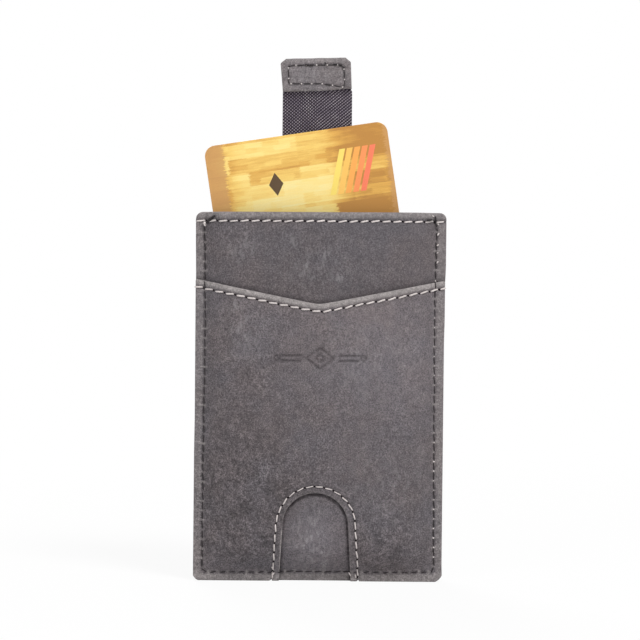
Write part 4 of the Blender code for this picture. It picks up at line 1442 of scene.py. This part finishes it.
def anchor_stitches():
    """The box of thread that sews the webbing's end down."""
    half = WEBBING_WIDTH / 2 - ANCHOR_INSET
    low, high = ANCHOR_LOW + ANCHOR_INSET, ANCHOR_HIGH - ANCHOR_INSET
    corners = ((-1, low), (1, low), (1, high), (-1, high), (-1, low))
    line = even_line([(STRAP_X + side * half, z) for side, z in corners], 1.0)
    threads = Collected()
    stitches = row(line, ANCHOR_PITCH, ANCHOR_PITCH / 2)
    face = level(ANCHOR_Y + WEBBING_THICKNESS / 2)
    sew(stitches, face, BACK, threads, None, DARK_STYLE, random.Random(13))
    threads.make("anchor_stitches", *DARK, "strap_anchor_stitching")


strap()
anchor_stitches()


# The leather tab, in its own frame: x across, z up from its lower edge, y through its thickness

TAB_CORNERS = ((-8.0, 2.05), (1.5, 1.85), (4.8, 1.3), (8.4, 0.55), (8.2, 7.2), (-8.1, 7.4), (-8.0, 2.05))
TAB_ROW = row(even_line(TAB_CORNERS, LINE_STEP), TAB_PITCH, 0.0)
TAB_TACKS = [((-3.2, 7.45), (-1.9, 7.35), 0.24), ((-1.9, 7.3), (-0.5, 7.45), 0.26),
             ((2.6, 8.0), (2.9, 7.5), 0.22), ((7.8, 6.6), (8.4, 6.3), 0.26),
             ((5.2, 7.5), (6.4, 7.3), 0.22), ((6.6, 7.3), (7.7, 7.1), 0.22)]
TAB_SPECK = (0.24, 0.16, 0.14)
TAB_FOOT_NARROWER = 0.55
TAB_TOP_NARROWER = 0.1
TAB_CLIP_LEFT, TAB_CLIP_LEFT_REACH = 1.5, (TAB_HEIGHT - 1.5, TAB_HEIGHT + 0.1)
TAB_CLIP_RIGHT, TAB_CLIP_RIGHT_REACH = 1.3, (TAB_HEIGHT - 1.7, TAB_HEIGHT + 0.1)
TAB_RIM_WEAR = 0.75
TAB_FACE_WEAR = 0.25
TAB_FOLD_WEAR = 0.3
TAB_FOLD_REACH = (7.5, 9.3)
TAB_ROW_SHADE = 0.45
TAB_ROW_SHADE_WIDTH = 0.45
TAB_FOOT_RISE = 0.5
TAB_FOOT_DROP = 0.22
TAB_COLUMNS = 64
TAB_FACE_ROWS = 26
TAB_FOLD_ROWS = 15
TAB_ROUNDING = 0.3
TAB_GROOVE = 0.2


def tab_half_widths(z):
    """How far the tab reaches to the left and right at a height, with its clipped upper corners."""
    share = np.clip(z / TAB_HEIGHT, 0, 1)
    left = TAB_WIDTH / 2 - TAB_FOOT_NARROWER * (1 - share)
    right = TAB_WIDTH / 2 - TAB_TOP_NARROWER * share
    left -= TAB_CLIP_LEFT * smoothstep(*TAB_CLIP_LEFT_REACH, z)
    right -= TAB_CLIP_RIGHT * smoothstep(*TAB_CLIP_RIGHT_REACH, z)
    return float(left), float(right)


def tab_foot(x, z):
    """The lower edge isn't cut straight: it climbs towards the right."""
    foot = TAB_FOOT_RISE * smoothstep(0.5, 10.0, x) - TAB_FOOT_DROP
    return foot * (1 - np.clip(z / TAB_HEIGHT, 0.0, 1.0))


def tab_relief(x, z, edge):
    height = -roll(edge, TAB_ROUNDING) + groove(columns(x, z), TAB_ROW, TAB_GROOVE)
    return height + 0.06 * np.sin(0.9 * x + 0.4) * np.sin(0.7 * z + 1.0) * smoothstep(0.4, 2.0, edge)


def tab_profile():
    """(y, z, normal_y, normal_z) up the front, over the fold and down the back."""
    heights = np.linspace(0.0, TAB_CROWN, TAB_FACE_ROWS)
    places = [(-TAB_HALF_DEPTH, z, -1.0, 0.0) for z in heights]
    for angle in np.radians(np.linspace(180, 0, TAB_FOLD_ROWS))[1:-1]:
        y, z = math.cos(angle), math.sin(angle)
        places.append((TAB_HALF_DEPTH * y, TAB_CROWN + TAB_HALF_DEPTH * z, y, z))
    return places + [(TAB_HALF_DEPTH, z, 1.0, 0.0) for z in heights[::-1]]


def tab_cap():
    """The leather folded over the end of the webbing."""
    shares = np.linspace(-1, 1, TAB_COLUMNS)
    shares = np.sign(shares) * (1 - (1 - np.abs(shares)) ** 1.25)
    outer, inner, wear_and_highlight, painted_shade = [], [], [], []
    for y, z, ny, nz in tab_profile():
        left, right = tab_half_widths(z)
        xs = np.where(shares < 0, shares * left, shares * right)
        edge = np.minimum(np.minimum(xs + left, right - xs), z)
        lift = -roll(edge, TAB_ROUNDING) if y > 0 else tab_relief(xs, z, edge)
        foot = z + tab_foot(xs, z)
        outer.append(columns(xs, y + ny * lift, foot + nz * lift))
        inner.append(columns(xs, y - ny * TAB_LEATHER, foot - nz * TAB_LEATHER))
        face_wear = TAB_FACE_WEAR + TAB_FOLD_WEAR * smoothstep(*TAB_FOLD_REACH, z)
        wear_and_highlight.append(np.maximum(TAB_RIM_WEAR * np.exp(-edge / RIM_WEAR_REACH), face_wear))
        # Painted shade along the tab's row of stitches.
        shade = (TAB_ROW["line"], TAB_ROW_SHADE_WIDTH, TAB_ROW_SHADE)
        painted_shade.append(lined(0.0, [shade], columns(xs, z)))
    points = leaned(np.vstack(outer + inner), (TAB_X, TAB_Y, TAB_Z), TAB_LEAN)
    paint = {"wear_and_highlight": np.concatenate(wear_and_highlight + wear_and_highlight), "painted_shade": np.concatenate(painted_shade + painted_shade)}
    for key, value in (("tone", 1.02), ("scuff", 0.3), ("coarse", 0.65)):
        paint[key] = np.full(len(points), value)
    faces = sheet_quads(TAB_COLUMNS, len(outer), (0, 1, 2, 3), (0, 1, 2, 3))
    made = make_mesh("tab_leather", points, faces, LEATHER_LOOKS, attributes=paint)
    hand_over(made, "tab", "grey_leather", "tab_cap")


def on_tab(flats):
    """Places on the tab's face as (x, z) of the case."""
    points = [(x, 0.0, z) for x, z in flats]
    return leaned(points, (TAB_X, TAB_Y, TAB_Z), TAB_LEAN)[:, ::2]


def tab_stitches():
    threads, holes, specks = Collected(), Collected(), Collected()
    stitches = row(on_tab(TAB_ROW["line"]), TAB_PITCH, 0.6)
    face = level(TAB_Y - TAB_HALF_DEPTH + 0.08)
    sew(stitches, face, FRONT, threads, holes, TAB_STYLE, random.Random(14))
    tack([(*on_tab([start, end]), radius) for start, end, radius in TAB_TACKS], face, threads)
    at_holes = np.arange(stitches["first"], stitches["length"] - LAST_HOLE, TAB_PITCH)
    flats, runs = places_on(stitches["line"], at_holes)
    for centre, (x, z) in zip(on_surface(flats, face, HOLE_LIFT, FRONT), runs):
        specks.spot(centre, upright(-z, x), upright(x, z), OUT[FRONT], *TAB_SPECK)
    threads.make("tab_stitches", DARK_THREAD, "tab", "dark_thread", "tab_stitching")
    holes.make("needle_hole_shades_tab", HOLE_SHADE, "tab", "dark_thread")
    specks.make("tab_bobbin_specks", LIGHT_THREAD, "tab", "light_thread", ply=0.9)


tab_cap()
tab_stitches()


# The card, in its own frame: x across, z along, y through its thickness

def rounded_rectangle(x, z, width, height, radius, steps):
    outline = []
    half_w, half_h = width / 2 - radius, height / 2 - radius
    for start, side, end in ((180, -1, -1), (270, 1, -1), (0, 1, 1), (90, -1, 1)):
        outline += arc(side * half_w, end * half_h, radius, start, start + 90, steps)
    return np.array(outline) + (x, z)


def slab(outline, low, high, bevel):
    """A closed slab over an (x, z) outline, its long edges eased."""
    count = len(outline)
    inward = sideways(np.vstack([outline[-1:], outline, outline[:1]]))[1:-1]
    points = []
    for inset, y in ((bevel, low), (bevel * 0.3, low + bevel * 0.3), (0.0, low + bevel),
                     (0.0, high - bevel), (bevel * 0.3, high - bevel * 0.3), (bevel, high)):
        points += [(x, y, z) for x, z in outline + inset * inward]
    faces = [(a, d, c, b) for a, b, c, d in ring_quads(0, 6, count)]
    last = len(points) - 1
    return points, faces + [tuple(range(count)), tuple(range(last, last - count, -1))]


def on_card(name, points, faces, material, second, uvs=None):
    """A mesh in the card's place, with a second material for some of its faces."""
    points = leaned(points, (CARD_X, CARD_Y, CARD_Z), CARD_LEAN)
    made = make_mesh(name, points, faces, material, smooth=False, uvs=uvs)
    made.data.materials.append(second)
    return made


def payment_card():
    outline = rounded_rectangle(0.0, 0.0, CARD_WIDTH, CARD_LENGTH, CARD_RADIUS, 12)
    points, faces = slab(outline, -CARD_THICKNESS / 2, CARD_THICKNESS / 2, 0.07)
    uvs = [(x / 10, z / 10) for x, _, z in points]
    card = on_card("gold_card_body", points, faces, CARD_PRINT, CARD_BACK, uvs)
    card.data.polygons[len(faces) - 1].material_index = 1
    hand_over(card, "card", "gold_card", "payment_card")


def chip_contacts():
    """Eight contacts round a middle field, cut apart by fine grooves, over their dark ground."""
    pad_w, pad_h = CHIP_WIDTH / 3, CHIP_HEIGHT / 4
    parts = []
    for column, low, high in [(column, k, k + 1) for column in (0, 2) for k in range(4)] + [(1, 0, 4)]:
        x = CHIP_X - CHIP_WIDTH / 2 + pad_w * (column + 0.5)
        z = CHIP_Z - CHIP_HEIGHT / 2 + pad_h * (low + high) / 2
        tall = pad_h * (high - low) - CHIP_GAP
        outline = rounded_rectangle(x, z, pad_w - CHIP_GAP, tall, PAD_CORNER, 4)
        parts.append((outline, PAD_STAND, PAD_BEVEL))
    ground = rounded_rectangle(CHIP_X, CHIP_Z, CHIP_WIDTH, CHIP_HEIGHT, CHIP_CORNER, 6)
    parts.append((ground, CHIP_STAND, CHIP_BEVEL))
    points, faces = [], []
    for outline, stand, bevel in parts:
        base, of_pads = len(points), len(faces)
        corners, quads = slab(outline, -CARD_THICKNESS / 2 - stand, CHIP_SUNK - CARD_THICKNESS / 2, bevel)
        points += corners
        faces += [tuple(base + k for k in quad) for quad in quads]
    made = on_card("chip_contacts", points, faces, CONTACTS, CONTACT_GROUND)
    for polygon in made.data.polygons[of_pads:]:
        polygon.material_index = 1
    hand_over(made, "card", "contact_plate", "card_chip")


payment_card()
chip_contacts()


# Floor, lights and camera

FLOOR_RINGS = (100.0, 400.0, 2500.0)
FLOOR_SIDES = 48
CAMERA_LENS = 116.22
CAMERA_PLACE = (-6.177, -604.52, 90.14)
CAMERA_PITCH = math.radians(-1.3007)
CAMERA_ROLL = math.radians(-0.541)
CAMERA_YAW = math.radians(-0.5939)


def studio_floor():
    """White, and at its edge as bright as the backdrop; near the case it keeps the shadow."""
    paint = Paint("studio_white")
    paint.tree.nodes.remove(paint.shader)
    far = paint.add("VectorMath", {"operation": "LENGTH"}, i0=paint.place()).outputs["Value"]
    share = paint.add("MapRange", Value=far, From_Min=0.1, From_Max=0.45, To_Min=0.9,
                      To_Max=1.0).outputs[0]
    seen = paint.add("LightPath").outputs["Is Camera Ray"]
    diffuse = paint.add("BsdfDiffuse", Color=colour(0.9)).outputs[0]
    glow = paint.add("Emission", Color=colour(1.0), Strength=1.0).outputs[0]
    surface = paint.add("MixShader", i0=paint.times(share, seen), i1=diffuse, i2=glow).outputs[0]
    paint.put(paint.tree.nodes["Material Output"].inputs["Surface"], surface)
    points = [(0.0, 0.0, 0.0)]
    for radius in FLOOR_RINGS:
        points += [(x, y, 0.0) for x, y in arc(0.0, 0.0, radius, 0, 360, FLOOR_SIDES)[:-1]]
    faces = [(0, 1 + j, 1 + (j + 1) % FLOOR_SIDES) for j in range(FLOOR_SIDES)]
    faces += [(a, d, c, b) for a, b, c, d in ring_quads(1, len(FLOOR_RINGS), FLOOR_SIDES)]
    make_mesh("studio_floor", points, faces, paint.made, smooth=False)


def area_light(name, place, aim_z, size, power):
    data = bpy.data.lights.new(name, "AREA")
    data.shape = "DISK"
    data.size = size
    data.energy = power
    lamp = bpy.data.objects.new(name, data)
    lamp.location = place
    lamp.rotation_euler = (Vector((0.0, 0.0, aim_z)) - Vector(place)).to_track_quat("-Z", "Y").to_euler()
    bpy.context.scene.collection.objects.link(lamp)


def world_light():
    """Softer as light than as a backdrop or a reflection."""
    world = bpy.data.worlds.new("studio")
    bpy.context.scene.world = world
    world.use_nodes = True
    nodes = Nodes(world.node_tree)
    background = nodes.tree.nodes["Background"]
    path = nodes.add("LightPath").outputs
    mirrored = nodes.maths("MAXIMUM", path["Is Glossy Ray"], path["Is Transmission Ray"])
    seen = nodes.maths("MAXIMUM", path["Is Camera Ray"], mirrored)
    nodes.put(background.inputs["Color"], colour(1.0))
    strength = nodes.add("MapRange", Value=seen, To_Min=0.3, To_Max=1.0).outputs[0]
    nodes.put(background.inputs["Strength"], strength)


def camera():
    """At the photograph's angle: nearly level, and rolled as the photograph is."""
    data = bpy.data.cameras.new("view")
    data.sensor_width = 36.0
    data.lens = CAMERA_LENS
    data.clip_start = 0.01
    data.clip_end = 20.0
    made = bpy.data.objects.new("view", data)
    turn = (Matrix.Rotation(CAMERA_YAW, 3, "Z") @ Matrix.Rotation(CAMERA_ROLL, 3, "Y")
            @ Matrix.Rotation(CAMERA_PITCH, 3, "X"))
    right, forward, up = turn.col
    place = [v * METRES for v in CAMERA_PLACE]
    made.matrix_world = Matrix(((*right, 0.0), (*up, 0.0), (*-forward, 0.0), (*place, 1.0))).transposed()
    bpy.context.scene.collection.objects.link(made)
    bpy.context.scene.camera = made


studio_floor()
area_light("key", (0.33, -0.42, 0.8), 0.08, 0.3, 5.6)
area_light("fill", (-0.5, -0.7, 0.3), 0.07, 0.5, 1.5)
area_light("behind", (-0.25, 0.75, 0.55), 0.07, 0.5, 4.0)
world_light()
camera()
bpy.context.scene.view_settings.view_transform = "Standard"

bpy.context.view_layer.update()
